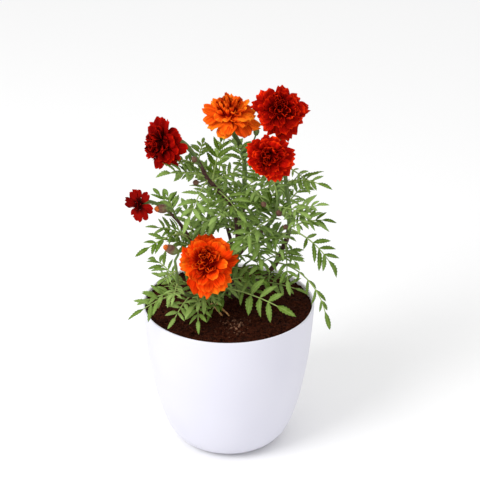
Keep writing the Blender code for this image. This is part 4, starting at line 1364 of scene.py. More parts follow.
@dataclass
class Branches:
    """The leafy stems with the bud stalks that leave them, each ribbed and swollen where its leaves sit."""

    main_stem: MainStem
    sides: int = 14
    rib: float = 0.05
    near_up: Place = (0.01, 0.0, 1.0)
    node_swell: float = 0.16
    node_width: float = 0.018
    green_blend: float = 0.16
    stalk_steps: int = 20
    stalk_end: float = 1.4
    small_bud: float = 3.0
    small_stalk: float = 0.75
    large_stalk: float = 1.1

    def clear_path(self, stem: Stem) -> Array:
        """The stem's curve from the first place where a ring round it clears the main stem.

        The clearance is the largest of the way out from the main stem's side and the way above its top.

        Args:
            stem: The stem.

        Returns:
            The curve's points, on which leaves and buds are placed by their share of its length.
        """
        path = smooth_route(np.array(stem.route, float), 60)
        tangents = unit(np.gradient(path, axis=0))
        across = unit(np.cross(tangents, self.near_up))
        other = np.cross(tangents, across)
        angles = ring_angles(12)[None, :, None]
        spokes = np.cos(angles) * across[:, None] + np.sin(angles) * other[:, None]
        ring = path[:, None] + stem.base_radius * spokes
        beside = np.linalg.norm(ring[..., :2] - self.main_stem.centre_at(ring[..., 2]), axis=-1)
        beside -= self.main_stem.radius_at(ring[..., 2])
        clear = np.maximum(beside, ring[..., 2] - self.main_stem.route[-1][2]).min(axis=1) > GAP
        return path[int(np.argmax(clear)):]

    def stalk(self, path: Array, bud: Bud) -> Surface:
        """A bud's thin stalk, from inside its stem to the bud's foot.

        Args:
            path: The stem's curve.
            bud: The bud.

        Returns:
            The stalk.
        """
        base, _ = point_along(path, bud.at)
        facing = bud.facing()
        end = np.array(bud.centre, float) - self.stalk_end * bud.radius * facing
        leaving = unit(unit(end - base) + 0.4 * UP)
        curve = joining_curve(base, leaving, end, facing, self.stalk_steps)
        thick = self.small_stalk if bud.radius < self.small_bud else self.large_stalk
        return swept_tube(curve, np.linspace(thick, 0.9 * thick, self.stalk_steps), 8).marked(green=0.75)

    def dress(self, paths: dict[str, Array], finish: Material) -> None:
        """Makes each leafy stem and its stalks. A leaf's swelling is a bell curve of the way to it.

        Args:
            paths: The stems' curves by name.
            finish: The material.
        """
        ribs = 1.0 + self.rib * np.cos(7 * ring_angles(self.sides))
        buds = list(OPENING_BUDS.values()) + list(SMALL_BUDS.values())
        for name, stem in STEMS.items():
            whole = smooth_route(np.array(stem.route, float), 14)
            share = np.linspace(0.0, 1.0, len(whole))
            plain = stem.base_radius + (stem.tip_radius - stem.base_radius) * share
            spots = np.array([leaf.at for leaf in LEAVES[name]])
            nearness = np.exp(-((share[:, None] - spots) / self.node_width) ** 2).max(axis=1)
            radii = (plain * (1.0 + self.node_swell * nearness))[:, None] * ribs
            tube = swept_tube(whole, radii, self.sides)
            green = 0.5 + (tube.marks["along"] - stem.dark_to) / self.green_blend
            tube.marked(green=np.clip(green, 0.0, 1.0))
            stalks = [self.stalk(paths[name], bud) for bud in buds if bud.stem == name]
            whole_stem = join_surfaces([tube] + stalks)
            make_piece(f"stem_{name}", whole_stem, finish, "leaf_green", f"leafy_stem_{name}")


# Leaves

@dataclass
class Leaflets:
    """The leaflets of one or more leaves as arrays: roots, directions, normals, lengths and half widths."""

    roots: Array
    ways: Array
    normals: Array
    lengths: Array
    halves: Array
    tones: Array


@dataclass
class LeafForm:
    """One leaf set at a heading and a pitch: a rib that sags in an upright plane, and its leaflets.

    The blade is turned about the rib towards the plant's front, where the light comes from.
    """

    leaf: Leaf
    base: Array
    heading: float
    pitch: float
    light_tilt: float = 34.0
    most_leaflet: float = 19.0
    first_pair: float = 0.34
    first_small_pair: float = 0.22
    spread: float = 62.0
    end_leaflet: float = 0.98
    solid_sizes: Numbers = (0.74, 1.0, 0.96, 0.86, 0.78)
    solid_lift: float = 0.22
    solid_droop: float = 0.07
    rib_steps: int = 22

    def across(self) -> Array:
        """The level direction across the leaf, to its left."""
        turn = math.radians(self.heading)
        return np.array([-math.sin(turn), math.cos(turn), 0.0])

    def frames(self, shares: Array) -> tuple[Array, Array, Array, Array]:
        """The rib's places and directions at shares of its length.

        The rib's slope falls evenly by the sag. Its places are the running sum of its directions.

        Args:
            shares: The shares, from 0 to 1.

        Returns:
            Places, tangents, directions to the left, and normals.
        """
        steps = np.linspace(0.0, 1.0, 41)
        rise = np.radians(self.pitch - self.leaf.sag * steps)
        turn = math.radians(self.heading)
        level = np.cos(rise)
        ways = np.stack([level * math.cos(turn), level * math.sin(turn), np.sin(rise)], axis=1)
        moves = 0.5 * (ways[1:] + ways[:-1]) * self.leaf.length / (len(steps) - 1)
        rib = self.base + np.vstack([np.zeros(3), np.cumsum(moves, axis=0)])
        tangents = unit(read_between(shares, steps, ways))
        tilt = math.radians(self.leaf.roll + self.light_tilt * math.cos(turn))
        left = math.cos(tilt) * self.across() + math.sin(tilt) * np.cross(tangents, self.across())
        return read_between(shares, steps, rib), tangents, left, np.cross(tangents, left)

    def rib_end(self) -> float:
        """The share of the leaf's length at which the last leaflet begins, larger on a longer leaf."""
        return 1.0 - 0.30 * 20.0 / max(self.leaf.length, 24.0)

    def longest(self) -> float:
        """The longest leaflet's length: a share of the leaf's, smaller with more pairs, up to a most."""
        return min((0.18 + 1.17 / (self.leaf.pairs + 3.0)) * self.leaf.length, self.most_leaflet)

    def solid_tips(self) -> Array:
        """Where the solid's leaflets end: the pairs that it has, and the last one.

        Returns:
            The tips, one a row.
        """
        pairs = self.leaf.pairs
        shares = np.linspace(self.first_pair, self.rib_end(), pairs + 1)
        places, tangents, left, normals = self.frames(shares)
        angle = np.radians(self.spread - 24.0 * np.arange(pairs) / max(pairs - 1, 1))[:, None]
        sizes = self.longest() * np.array(self.solid_sizes)[:pairs, None]
        end = self.end_leaflet * self.longest() * (tangents[-1] - self.solid_droop * normals[-1])
        tips = [places[-1] + end]
        for hand in (1.0, -1.0):
            way = np.cos(angle) * tangents[:-1] + hand * np.sin(angle) * left[:-1]
            way = unit(way + self.solid_lift * normals[:-1])
            tips.append(places[:-1] + sizes * (way - self.solid_droop * normals[:-1]))
        return np.vstack(tips)

    def leaflets(self, draw: np.random.Generator) -> Leaflets:
        """The leaflets that show: more pairs than the solid has, with small ones near the stalk.

        Args:
            draw: The source of their differences.

        Returns:
            The leaflets.
        """
        leaf, pairs = self.leaf, self.leaf.pairs + self.leaf.more_pairs
        first = self.first_small_pair if leaf.more_pairs > 0 else self.first_pair
        places, tangents, left, normals = self.frames(np.linspace(first, self.rib_end(), pairs + 1))
        part = np.arange(pairs) / max(pairs - 1, 1)
        spread = np.radians(self.spread + leaf.open - 22.0 * part)
        sizes = self.longest() * np.interp(part, [0.0, 0.3, 0.55, 0.8, 1.0], [0.6, 0.92, 1.0, 0.94, 0.82])
        roots, ways, lifts = [places[-1:]], [tangents[-1:]], [normals[-1:]]
        lengths = [[self.end_leaflet * self.longest()]]
        for hand in (1.0, -1.0):
            angle = (spread + draw.normal(0.0, 0.13, pairs))[:, None]
            way = np.cos(angle) * tangents[:-1] + hand * np.sin(angle) * left[:-1]
            way = way + draw.normal(0.2, 0.16, (pairs, 1)) * normals[:-1] - leaf.hang * UP
            roots.append(places[:-1])
            ways.append(unit(way))
            lifts.append(normals[:-1])
            lengths.append(sizes * draw.uniform(0.9, 1.2, pairs) / (1.0 + 0.25 * leaf.hang))
        long = np.concatenate(lengths)
        # Leaves that point backward get a darker tone, painted shade for the back of the plant, on top of a
        # random tone.
        painted_shade_behind = max(math.sin(math.radians(self.heading)), 0.0)
        tone = float(np.clip(0.56 - 0.2 * painted_shade_behind + draw.normal(0.0, 0.26), 0.05, 1.0))
        tones = np.clip(tone + draw.normal(0.0, 0.10, len(long)), 0.0, 1.0)
        halves = leaf.broad * (0.112 * long + 0.3) * draw.uniform(0.85, 1.15, len(long))
        return Leaflets(np.vstack(roots), np.vstack(ways), np.vstack(lifts), long, halves, tones)

    def rib(self) -> Surface:
        """The rib as a thin tapering tube from inside the stem to the last leaflet."""
        places = self.frames(np.linspace(0.0, self.rib_end() + 0.02, self.rib_steps))[0]
        return swept_tube(places, np.linspace(0.76, 0.4, self.rib_steps), 6, reference=self.across())


@dataclass
class Foliage:
    """All the leaves: it finds how each solid leaf settled and grows the finer leaf in its place."""

    match_within: float = 0.8
    rows: Numbers = (0.0, 0.08, 0.20, 0.30, 0.35, 0.45, 0.50, 0.60, 0.65, 0.74, 0.79, 0.87, 0.91, 1.0)
    tooth_high: Numbers = (0.0, 0.0, 0.2, 1.0, 0.0, 1.0, 0.0, 1.0, 0.0, 1.0, 0.0, 1.0, 0.1, 0.0)
    columns: int = 3
    tooth: float = 0.34
    fold: float = 0.42
    ripple: float = 0.10
    arch: float = 0.05
    droop: float = 0.09
    sway: float = 0.07
    twist: float = 0.3
    thickness: float = 0.34
    least_half: float = 0.16
    tip_half: float = 0.05
    shoot_step: float = 8.5
    shoots_from: float = 0.06
    shoots_to: float = 0.8
    shoot_pairs: int = 3
    shoot_pitch: float = 24.0
    shoot_sag: float = 34.0
    shoot_stray: float = 12.0
    shoots_above: float = 137.0
    shoots_right_to: float = 98.5
    bloom_berth: float = 1.1

    def settle(self, leaf: Leaf, path: Array, corners: Array) -> LeafForm | None:
        """The leaf in the first of its swings in which all of the solid's tips are in its stem's mesh.

        Args:
            leaf: The leaf.
            path: Its stem's curve.
            corners: The corners of the stem's solid, in millimetres.

        Returns:
            The leaf's form, or None where the solid left it out.
        """
        base, _ = point_along(path, leaf.at)
        for turn, tip in SWINGS:
            form = LeafForm(leaf, base, leaf.heading + turn, leaf.pitch + tip)
            reach = np.linalg.norm(form.solid_tips()[:, None] - corners[None], axis=-1)
            if reach.min(axis=1).max() < self.match_within:
                return form
        return None

    def blades(self, leaflets: Leaflets, draw: np.random.Generator) -> Surface:
        """Leaflets as closed sheets, all at once.

        Along it a leaflet's half width rises as a power of the share and falls to its tip, and each tooth
        widens it and then cuts back. Across it the two halves rise from the midrib, with a fine ripple. It
        arches as a sine, droops and sways by the square of the share, and twists about its own line.

        Args:
            leaflets: Their places and sizes.
            draw: The source of their bends and twists.

        Returns:
            The blades.
        """
        count = len(leaflets.lengths)
        s = np.array(self.rows)
        t = np.linspace(-1.0, 1.0, self.columns)
        outline = s**0.75 * (1.0 - s) ** 0.85
        outline = outline / outline.max()
        toothed = outline * (1.0 - 0.5 * self.tooth + self.tooth * np.array(self.tooth_high))
        half = np.maximum(leaflets.halves[:, None] * toothed, self.least_half)
        half[:, -1] = self.tip_half
        widths = unit(np.cross(leaflets.normals, leaflets.ways))
        lift = np.cross(leaflets.ways, widths)
        twist = draw.normal(0.0, self.twist, (count, 1)) * s
        turned = np.cos(twist)[..., None] * widths[:, None] + np.sin(twist)[..., None] * lift[:, None]
        above = np.cross(leaflets.ways[:, None], turned)
        length = leaflets.lengths[:, None]
        droop = self.droop * draw.uniform(0.3, 2.4, (count, 1))
        down = self.arch * length * np.sin(math.pi * s) - droop * length * s**2
        sway = draw.normal(0.0, self.sway, (count, 1)) * length * s**2
        spine = (leaflets.roots[:, None] + (length * s)[..., None] * leaflets.ways[:, None]
                 + down[..., None] * lift[:, None] + sway[..., None] * widths[:, None])
        fold = self.fold * draw.uniform(0.4, 1.3, (count, 1, 1)) * np.abs(t) * half[..., None]
        ripple = self.ripple * half[..., None] * np.sin(9.0 * s[:, None] + 2.0 * t) * np.abs(t)
        middle = (spine[:, :, None] + (t * half[..., None])[..., None] * turned[:, :, None]
                  + (fold + ripple)[..., None] * above[:, :, None])
        uv = np.stack(np.broadcast_arrays(0.5 + 0.5 * t, s[:, None]), -1)
        blades = thin_sheets(middle, sheet_normals(middle), self.thickness * (1.0 - 0.55 * np.abs(t)), uv)
        return blades.marked(tone=np.repeat(leaflets.tones, 2 * len(s) * self.columns))

    def shoots(self, name: str, path: Array, draw: np.random.Generator) -> list[LeafForm]:
        """Small young leaves in a spiral up a stem, left out where they would reach a bloom or the peat.

        Args:
            name: The stem's name.
            path: Its curve.
            draw: The source of their differences.

        Returns:
            Their forms.
        """
        total = float(np.linalg.norm(np.diff(path, axis=0), axis=1).sum())
        found = []
        shares = np.arange(self.shoots_from, self.shoots_to, self.shoot_step / total)
        for number, at in enumerate(shares):
            heading = math.degrees(GOLDEN_TURN) * number + 40.0 * len(name)
            heading += draw.normal(0.0, self.shoot_stray)
            pitch = self.shoot_pitch + draw.normal(0.0, self.shoot_stray)
            length = STEMS[name].shoot_length * draw.uniform(0.75, 1.2)
            sag = self.shoot_sag + draw.normal(0.0, 10.0)
            leaf = Leaf(at, heading, pitch, length, self.shoot_pairs, sag, broad=0.9)
            form = LeafForm(leaf, point_along(path, at)[0], heading, pitch)
            tips = form.solid_tips()
            berth = min(np.linalg.norm(tips - np.array(flower.centre), axis=1).min() / flower.radius
                        for flower in FLOWERS.values())
            inside = tips[:, 2].min() > self.shoots_above and tips[:, 0].max() < self.shoots_right_to
            if berth > self.bloom_berth and inside:
                found.append(form)
        return found

    def dress(self, paths: dict[str, Array], finish: Material) -> None:
        """Makes the leaves of each stem as one piece.

        Args:
            paths: The stems' curves by name.
            finish: The material.
        """
        draw = np.random.default_rng(5)
        for name in STEMS:
            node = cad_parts[f"leafy_stem_{name}"]
            corners = np.empty(3 * len(node.data.vertices), np.float32)
            node.data.vertices.foreach_get("co", corners)
            corners = corners.reshape(-1, 3) / MM
            settled = [self.settle(leaf, paths[name], corners) for leaf in LEAVES[name]]
            if None in settled:
                LOG.warning("%s has %d leaves without a solid", name, settled.count(None))
            parts = []
            for form in [form for form in settled if form] + self.shoots(name, paths[name], draw):
                leaflets = form.leaflets(draw)
                parts.append(self.blades(leaflets, draw))
                parts.append(form.rib().marked(rib=0.85, tone=float(leaflets.tones.mean())))
            make_piece(f"leaves_{name}", join_surfaces(parts), finish, "leaf_green", f"leafy_stem_{name}")


# Flowers and buds

@dataclass(frozen=True)
class HeadShape:
    """How a flower head's petals change from its outermost row to its innermost.

    The rows are shares of the petals, angles are in degrees, and lengths are shares of the head's radius. A
    loose head has petals that are unequal from side to side. The dent is cut into the middle of each end.
    """

    count: int
    rows: Numbers
    rise: Numbers
    reach: Numbers
    width: Numbers
    curl: Numbers
    height: Numbers
    root: Numbers
    cup: Numbers
    frill: Pair
    core: float
    loose: float
    dent: float


HEAD_SHAPES = {
    Petals.RUFFLED: HeadShape(
        count=66, frill=(0.22, 0.44), core=0.17, loose=1.0, dent=0.04,
        rows=(0.0, 0.17, 0.21, 0.38, 0.42, 0.64, 0.70, 1.0),
        rise=(-10.0, 2.0, 14.0, 24.0, 32.0, 44.0, 50.0, 80.0),
        reach=(1.08, 1.05, 0.90, 0.86, 0.76, 0.70, 0.62, 0.50),
        width=(0.54, 0.52, 0.52, 0.46, 0.42, 0.34, 0.28, 0.18),
        curl=(24.0, 24.0, 30.0, 32.0, 32.0, 30.0, 28.0, 8.0),
        height=(0.04, 0.07, 0.10, 0.15, 0.19, 0.26, 0.28, 0.37),
        root=(0.14, 0.14, 0.14, 0.15, 0.20, 0.22, 0.20, 0.06),
        cup=(-0.1, -0.1, 0.0, 0.1, 0.3, 0.6, 0.8, 1.1)),
    Petals.BROAD: HeadShape(
        count=68, frill=(0.26, 0.26), core=0.24, loose=0.8, dent=0.04,
        rows=(0.0, 0.14, 0.18, 0.34, 0.38, 0.50, 0.54, 0.78, 1.0),
        rise=(-2.0, 6.0, 16.0, 24.0, 36.0, 44.0, 50.0, 66.0, 84.0),
        reach=(1.04, 1.0, 0.92, 0.88, 0.78, 0.70, 0.61, 0.58, 0.54),
        width=(0.68, 0.64, 0.56, 0.50, 0.38, 0.32, 0.22, 0.19, 0.16),
        curl=(24.0, 26.0, 26.0, 22.0, 16.0, 10.0, 4.0, 0.0, -6.0),
        height=(0.04, 0.06, 0.10, 0.14, 0.18, 0.21, 0.22, 0.26, 0.30),
        root=(0.14, 0.14, 0.14, 0.16, 0.18, 0.22, 0.28, 0.20, 0.05),
        cup=(-0.1, -0.1, 0.0, 0.1, 0.4, 0.7, 1.0, 1.1, 1.2)),
    Petals.SINGLE: HeadShape(
        count=17, frill=(0.20, 0.40), core=0.15, loose=0.0, dent=0.12,
        rows=(0.0, 0.45, 0.5, 1.0), rise=(4.0, 10.0, 46.0, 74.0), reach=(1.02, 0.98, 0.38, 0.26),
        width=(0.60, 0.56, 0.14, 0.11), curl=(16.0, 14.0, 8.0, 0.0), height=(0.1, 0.12, 0.2, 0.26),
        root=(0.13, 0.13, 0.14, 0.05), cup=(0.1, 0.1, 0.9, 1.0)),
}


@dataclass
class PetalLines:
    """The petals' ways out from the head's middle, then an angle or a length for each petal."""

    spoke: Array
    rise: Array
    curl: Array
    root: Array
    height: Array
    length: Array
    half: Array


@dataclass
class FlowerHead:
    """A flower head: petals in a spiral round a short core, pleated and frilled at their ends."""

    name: str
    flower: Flower
    finish: PetalFinish
    stations: Numbers = (0.0, 0.16, 0.32, 0.48, 0.62, 0.74, 0.85, 0.94, 1.0)
    columns: int = 9
    thickness: float = 0.36
    notch: float = 0.03
    rounding: float = 0.11
    most_stray: float = 1.5
    uneven: float = 0.09
    tilt: float = 7.0
    hang: float = 15.0
    longer_below: float = 0.06
    turn_stray: float = 0.16
    rise_stray: float = 8.0
    curl_stray: float = 13.0
    twist: float = 0.30
    sway: float = 0.07
    ruffle: float = 0.22
    ripple: float = 0.10
    core_line: Line = ((0.0, 0.94), (0.16, 1.0), (0.3, 0.82), (0.4, 0.53), (0.44, 0.18))

    def __post_init__(self) -> None:
        """Takes the head's shape, gives each petal its row, and starts the head's own draws."""
        self.shape = HEAD_SHAPES[self.flower.petals]
        self.row = np.arange(self.shape.count) / (self.shape.count - 1.0)
        self.inner = np.clip((self.row - 0.2) / 0.4, 0.0, 1.0)
        self.draw = np.random.default_rng(sum(map(ord, self.name)) + 1000 * self.flower.variety)

    def by_row(self, values: Numbers) -> Array:
        """The values between the head's rows, one for each petal."""
        return np.interp(self.row, self.shape.rows, values)

    def stray(self, spread: float) -> Array:
        """A normal draw for each petal, held to a few spreads."""
        drawn = np.clip(self.draw.normal(0.0, 1.0, self.shape.count), -self.most_stray, self.most_stray)
        return (0.4 + 0.6 * self.shape.loose) * spread * drawn

    def petal_lines(self) -> PetalLines:
        """The petals' lines.

        Petal i stands at i golden turns. Slow waves round the head make one side longer or steeper than
        another, and a petal rises less the more it points down.

        Returns:
            The lines, the angles in radians.
        """
        shape, flower, draw = self.shape, self.flower, self.draw
        across = unit(np.cross(UP, flower.facing()))
        other = np.cross(flower.facing(), across)
        turn = GOLDEN_TURN * np.arange(shape.count) + self.stray(self.turn_stray) * (1.0 + self.inner)
        spoke = (np.cos(turn)[:, None] * across * flower.slender
                 + np.sin(turn)[:, None] * other / flower.slender)
        starts = draw.uniform(0.0, 2 * math.pi, 4)
        slow = [np.sin(around * turn + start) for around, start in zip((2.0, 3.0, 1.0, 2.0), starts)]
        steeper = shape.loose * (0.6 * self.tilt * (slow[2] + slow[3]) + self.hang * spoke[:, 2])
        stray = self.stray(self.rise_stray) * (1.0 + self.inner)
        rise = np.radians(self.by_row(shape.rise) + stray + steeper)
        skirt = flower.skirt * np.clip(1.0 - self.row / 0.3, 0.0, 1.0)
        curl = np.radians(self.by_row(shape.curl) + self.stray(self.curl_stray) + skirt)
        root = flower.radius * self.by_row(shape.root) * np.sqrt(draw.uniform(0.4, 1.3, shape.count))
        height = flower.dome * flower.radius * self.by_row(shape.height)
        waves = shape.loose * (0.6 * self.uneven * (slow[0] + slow[1]) - self.longer_below * spoke[:, 2])
        reach = draw.uniform(0.87 - 0.1 * self.inner, 1.05 + 0.07 * self.inner) * (1.0 + waves)
        length = flower.radius * self.by_row(shape.reach) * reach - root
        half = 0.5 * flower.radius * self.by_row(shape.width) * draw.uniform(0.76, 1.24, shape.count)
        measures = (values[:, None, None] for values in (rise, curl, root, height, length, half))
        return PetalLines(spoke[:, None, None], *measures)

    def petals(self) -> Surface:
        """All the petals at once.

        A petal's line leaves the core at its rise and bends back by its curl as the power 1.4 of the share.
        Its half width opens from a narrow root as a sine, and its end is blunt, rounded at its corners, and
        notched where its pleats are low. The pleats are a sine across it that deepens along it, and its
        edges rise as the square of the way across, which makes a spoon of an inner petal. It twists and
        sways a little, by amounts drawn for each petal.

        Returns:
            The petals, marked with their row from 0 outside to 1 inside.
        """
        shape, line, draw = self.shape, self.petal_lines(), self.draw
        facing, spoke = self.flower.facing(), line.spoke
        v = np.array(self.stations)[None, :, None]
        u = np.linspace(-1.0, 1.0, self.columns)
        phase = draw.uniform(0.0, 2 * math.pi, (shape.count, 1, 1))
        lobes = draw.uniform(0.7, 1.25, (shape.count, 1, 1))
        pleat = np.sin(2 * math.pi * lobes * u + phase)
        cut = self.notch * (1.0 - pleat) + self.rounding * u**4 + shape.dent * np.exp(-((u / 0.22) ** 2))
        share = v * (1.0 - cut * v**2)
        lift = line.rise - line.curl * share**1.4
        step = np.diff(share, axis=1, prepend=0.0) * line.length
        between = lift - 0.5 * np.diff(lift, axis=1, prepend=lift[:, :1])
        out = line.root + np.cumsum(step * np.cos(between), axis=1)
        up = line.height + self.flower.dome * np.cumsum(step * np.sin(between), axis=1)
        wide = line.half * (0.18 + 0.82 * np.sin(0.5 * math.pi * np.minimum(v / 0.8, 1.0)) ** 1.3)
        wide = wide * np.sqrt(1.0 - 0.52 * np.clip((v - 0.7) / 0.3, 0.0, 1.0) ** 2)
        frill = np.interp(self.inner, [0.0, 1.0], shape.frill)[:, None, None]
        spoon = self.by_row(shape.cup)[:, None, None] * (u**2 - 0.3) * np.sin(0.5 * math.pi * v)
        raised = (frill * pleat * v * (0.5 + 0.5 * v) + spoon
                  + self.ruffle * frill * np.sin(3 * math.pi * u + 2.0 * phase) * v**2
                  + self.ripple * np.sin(7.0 * v + 3.0 * phase))
        twist = self.stray(self.twist)[:, None, None] * v
        side = wide * (u * np.cos(twist) - raised * np.sin(twist))
        side = side + self.stray(self.sway)[:, None, None] * line.length * share**2
        offset = wide * (raised * np.cos(twist) + u * np.sin(twist))
        normal = np.cos(lift)[..., None] * facing - np.sin(lift)[..., None] * spoke
        middle = (self.flower.seat() + out[..., None] * spoke + up[..., None] * facing
                  + side[..., None] * np.cross(facing, spoke) + offset[..., None] * normal)
        thick = self.thickness * (1.0 - 0.5 * np.abs(u)) * (1.0 - 0.4 * v)
        uv = np.stack(np.broadcast_arrays(0.5 + 0.5 * u, v[0]), -1)
        sheet = thin_sheets(middle, sheet_normals(middle), thick, uv)
        each = 2 * len(self.stations) * self.columns
        tone = np.repeat(draw.uniform(0.0, 1.0, shape.count), each)
        return sheet.marked(row=np.repeat(self.row, each), tone=tone)

    def core(self) -> Surface:
        """The short core under the petals: a bar of the heart's colour that rounds over at its top.

        Returns:
            The core.
        """
        heights, shares = np.array(self.core_line).T
        path = self.flower.seat() + (self.flower.radius * heights[:, None] + GAP) * self.flower.facing()
        core = swept_tube(path, self.flower.radius * self.shape.core * shares, 16).marked(row=1.0, tone=0.3)
        core.uv[:, 1] = 0.1
        return core

    def dress(self, effects: Effects) -> None:
        """Makes the head as one piece."""
        finish, head = self.finish.build(effects), join_surfaces([self.petals(), self.core()])
        make_piece(f"bloom_{self.name}", head, finish, self.finish.slot, f"flower_head_{self.name}")


@dataclass
class Cups:
    """The green cups under the heads, and the buds: ribbed, swollen, with a toothed rim."""

    ribs: int = 10
    rib: Pair = (0.03, 0.07)
    sides: int = 40
    stalk_radii: Pair = (1.8, 2.4)
    cup_line: Line = ((1.5, 2.6), (3.0, 3.4), (4.0, 4.2), (6.0, 5.3), (8.0, 6.0), (10.0, 6.5), (11.5, 6.6),
                      (12.6, 6.3), (13.0, 5.8), (12.2, 5.2))
    cup_teeth: Numbers = (0.15, 0.5, 0.9, 0.2)
    cup_radius: float = 22.0
    neck: float = 13.0
    husk_line: Line = ((-1.5, 0.35), (-1.3, 0.56), (-1.1, 0.75), (-0.75, 0.93), (-0.4, 1.0), (0.05, 1.0),
                       (0.5, 0.95), (0.85, 0.84), (1.1, 0.75), (1.2, 0.68), (1.14, 0.6))
    husk_teeth: Numbers = (0.04, 0.08, 0.1, 0.0)
    husk_rib: float = 0.045
    tip_line: Line = ((1.05, 0.6), (1.3, 0.64), (1.55, 0.54), (1.8, 0.36), (1.95, 0.16))
    tip_fold: float = 0.16
    egg_line: Line = ((-1.5, 0.4), (-1.1, 0.78), (-0.6, 0.96), (0.1, 1.0), (0.7, 0.82), (1.1, 0.5),
                      (1.35, 0.12))
    egg_sides: int = 20
    egg_rib: float = 0.07

    def ribbed(self, path: Array, radii: Array, rib: Array, teeth: Array) -> Surface:
        """A tube with ribs that deepen by ring and a last edge cut into teeth.

        The radius is multiplied by one plus the rib's depth times the cosine of the ribs' turns, and each
        ring is lifted by its teeth times the same cosine.

        Args:
            path: The tube's path.
            radii: Its radius at each point.
            rib: The ribs' depth at each point, as a share of the radius.
            teeth: The teeth's height at each point.

        Returns:
            The tube.
        """
        wave = np.cos(self.ribs * ring_angles(self.sides))
        rings = radii[:, None] * (1.0 + rib[:, None] * wave)
        return swept_tube(path, rings, self.sides, lift=teeth[:, None] * wave)

    def cup(self, path: Array, flower: Flower) -> Surface:
        """The stalk from the stem's tip, which thickens into the cup below the petals.

        Args:
            path: The stem's curve.
            flower: The flower head.

        Returns:
            The stalk and the cup.
        """
        facing = flower.facing()
        tip, along = point_along(path, 1.0)
        size = flower.radius / self.cup_radius
        neck = flower.seat() - self.neck * size * facing
        stalk = joining_curve(tip - 1.2 * along, along, neck, facing, 16)
        heights, cup_radii = size * np.array(self.cup_line).T
        stalk_radii = np.linspace(*self.stalk_radii, len(stalk)) * min(size, 1.0)
        line = np.vstack([stalk, neck + heights[:, None] * facing])
        rib = np.concatenate([np.full(len(stalk), self.rib[0]), np.linspace(*self.rib, len(heights))])
        teeth = np.zeros(len(line))
        teeth[-len(self.cup_teeth):] = size * np.array(self.cup_teeth)
        return self.ribbed(line, np.concatenate([stalk_radii, cup_radii]), rib, teeth)

    def opening_bud(self, bud: Bud) -> tuple[Surface, Surface]:
        """A bud that begins to open: its cup, and the folded petals that twist out of it.

        Args:
            bud: The bud.

        Returns:
            The cup, and the petals.
        """
        shares, radii = np.array(self.husk_line).T
        teeth = np.zeros(len(shares))
        teeth[-len(self.husk_teeth):] = bud.radius * np.array(self.husk_teeth)
        rib = np.full(len(shares), self.husk_rib)
        cup = self.ribbed(bud.line(shares), bud.radius * radii, rib, teeth)
        knots, widths = np.array(self.tip_line).T
        shares = np.linspace(knots[0], knots[-1], 10)
        radii = bud.radius * np.interp(shares, knots, widths)
        angles = ring_angles(self.sides)
        folds = 1.0 + self.tip_fold * np.cos(6 * angles + 5.0 * shares[:, None])
        jag = bud.radius * self.tip_fold * (shares[:, None] - knots[0]) * np.cos(6 * angles + 1.0)
        return cup, swept_tube(bud.line(shares), radii[:, None] * folds, self.sides, lift=jag)

    def small_bud(self, bud: Bud) -> Surface:
        """A small closed bud: an egg with a few ribs that meet at its tip.

        Args:
            bud: The bud.

        Returns:
            The egg.
        """
        knots, widths = np.array(self.egg_line).T
        shares = np.linspace(knots[0], knots[-1], 12)
        ribs = 1.0 + self.egg_rib * np.cos(5 * ring_angles(self.egg_sides))
        radii = bud.radius * np.interp(shares, knots, widths)[:, None] * ribs
        return swept_tube(bud.line(shares), radii, self.egg_sides)

    def dress(self, paths: dict[str, Array], effects: Effects) -> None:
        """Makes the cups and the buds.

        Args:
            paths: The stems' curves by name.
            effects: The shared groups.
        """
        green = BarkFinish("cup_skin", bark=(0.05, 0.03, 0.018), green=(0.09, 0.16, 0.03)).build(effects)
        purple = BarkFinish("bud_skin", bark=(0.095, 0.034, 0.024), worn=(0.19, 0.11, 0.06)).build(effects)
        flame = BUD_FINISH.build(effects)
        for name, flower in FLOWERS.items():
            cup = self.cup(paths[name], flower)
            make_piece(f"cup_{name}", cup.marked(green=0.8), green, "cup_green", f"flower_cup_{name}")
        for name, bud in OPENING_BUDS.items():
            cup, tip = self.opening_bud(bud)
            cup.marked(green=np.clip(0.95 - 1.1 * cup.marks["along"], 0.0, 1.0))
            make_piece(f"{name}_husk", cup, purple, "cup_green", f"{name}_cup")
            tip.marked(row=0.0, tone=0.6)
            make_piece(f"{name}_petals", tip, flame, BUD_FINISH.slot, f"{name}_tip")
        for name, bud in SMALL_BUDS.items():
            small = self.small_bud(bud).marked(green=0.75 if name == "small_bud_6" else 0.0)
            make_piece(f"{name}_husk", small, purple, "bud_dark", name)


# Studio

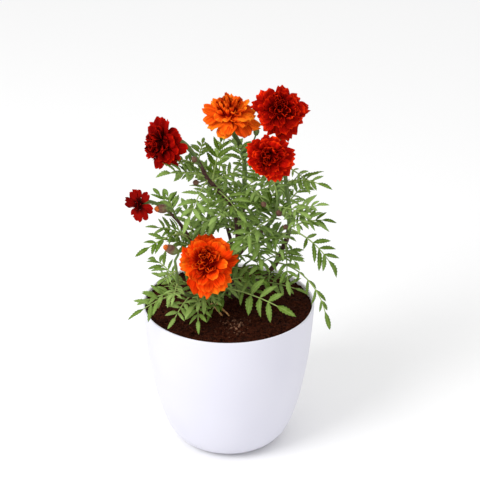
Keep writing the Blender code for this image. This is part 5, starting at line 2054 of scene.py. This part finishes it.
@dataclass
class Studio:
    """The pale floor, the soft light and the camera at the photograph's angle."""

    target: Place = (10.15, 0.0, 194.9)
    camera_place: Place = (10.15, -1126.0, 737.8)
    lens: float = 108.1
    floor_reach: float = 9.0
    floor_drop: float = 0.0001
    floor_white: float = 0.93
    sky: float = 0.93
    key_place: Place = (-900.0, -800.0, 1100.0)
    key_target: Place = (0.0, 0.0, 150.0)
    key_size: float = 0.75
    key_power: float = 13.0

    def build_floor(self) -> None:
        """A wide pale floor just under the pot."""
        white = (self.floor_white,) * 3
        skin = Skin("studio_floor", Base_Color=white, Roughness=0.9, Specular_IOR_Level=0.0)
        mesh = bpy.data.meshes.new("studio_floor")
        corners = self.floor_reach * np.array([(-1, -1), (1, -1), (1, 1), (-1, 1)])
        mesh.from_pydata([(x, y, -self.floor_drop) for x, y in corners], [], [(0, 1, 2, 3)])
        mesh.materials.append(skin.material)
        show("studio_floor", mesh)

    def build_light(self) -> None:
        """An even white surround and one large soft lamp from the upper left of the front."""
        world = bpy.data.worlds.new("studio_surround")
        world.use_nodes = True
        ground = world.node_tree.nodes["Background"]
        ground.inputs["Color"].default_value = (1.0, 1.0, 1.0, 1.0)
        ground.inputs["Strength"].default_value = self.sky
        bpy.context.scene.world = world
        lamp = bpy.data.lights.new("key_lamp", "AREA")
        lamp.shape = "DISK"
        lamp.size = self.key_size
        lamp.energy = self.key_power
        self.aim(show("key_lamp", lamp), self.key_place, self.key_target)

    def aim(self, holder: bpy.types.Object, place: Place, target: Place) -> None:
        """Stands an object at a place and turns its own -Z towards the target, with its +Y up.

        Args:
            holder: The object.
            place: Where it stands, in millimetres.
            target: What it looks at, in millimetres.
        """
        back = unit(np.array(place) - np.array(target))
        right = unit(np.cross(UP, back))
        up = np.cross(back, right)
        turn = np.eye(4)
        turn[:3, 0], turn[:3, 1], turn[:3, 2], turn[:3, 3] = right, up, back, np.array(place) * MM
        holder.matrix_world = [tuple(column) for column in turn.T]

    def build_camera(self) -> None:
        """The camera, at the photograph's distance, height and lens."""
        camera = bpy.data.cameras.new("portrait_camera")
        camera.lens = self.lens
        camera.sensor_width = 36.0
        camera.clip_end = 100.0
        holder = show("portrait_camera", camera)
        self.aim(holder, self.camera_place, self.target)
        bpy.context.scene.camera = holder
        bpy.context.scene.view_settings.view_transform = "Standard"


def main() -> None:
    """Builds the studio and dresses every sub-assembly in order."""
    logging.basicConfig(level=logging.INFO, format="%(name)s %(message)s")
    studio = Studio()
    studio.build_camera()
    studio.build_light()
    studio.build_floor()
    effects = Effects()
    Pot().dress(PotFinish().build(effects))
    soil = Soil()
    soil.dress(PeatFinish().build(effects))
    root_finish = BarkFinish("old_root", bark=(0.44, 0.20, 0.06), worn=(0.84, 0.48, 0.17)).build(effects)
    DriedRoots().dress(soil, root_finish)
    stem_finish = BarkFinish("stem_skin").build(effects)
    main_stem = MainStem()
    main_stem.dress(stem_finish)
    branches = Branches(main_stem)
    paths = {name: branches.clear_path(stem) for name, stem in STEMS.items()}
    branches.dress(paths, stem_finish)
    Foliage().dress(paths, LeafFinish().build(effects))
    Cups().dress(paths, effects)
    for name, flower in FLOWERS.items():
        FlowerHead(name, flower, HEAD_FINISHES[name]).dress(effects)


if __name__ == "__main__":
    main()
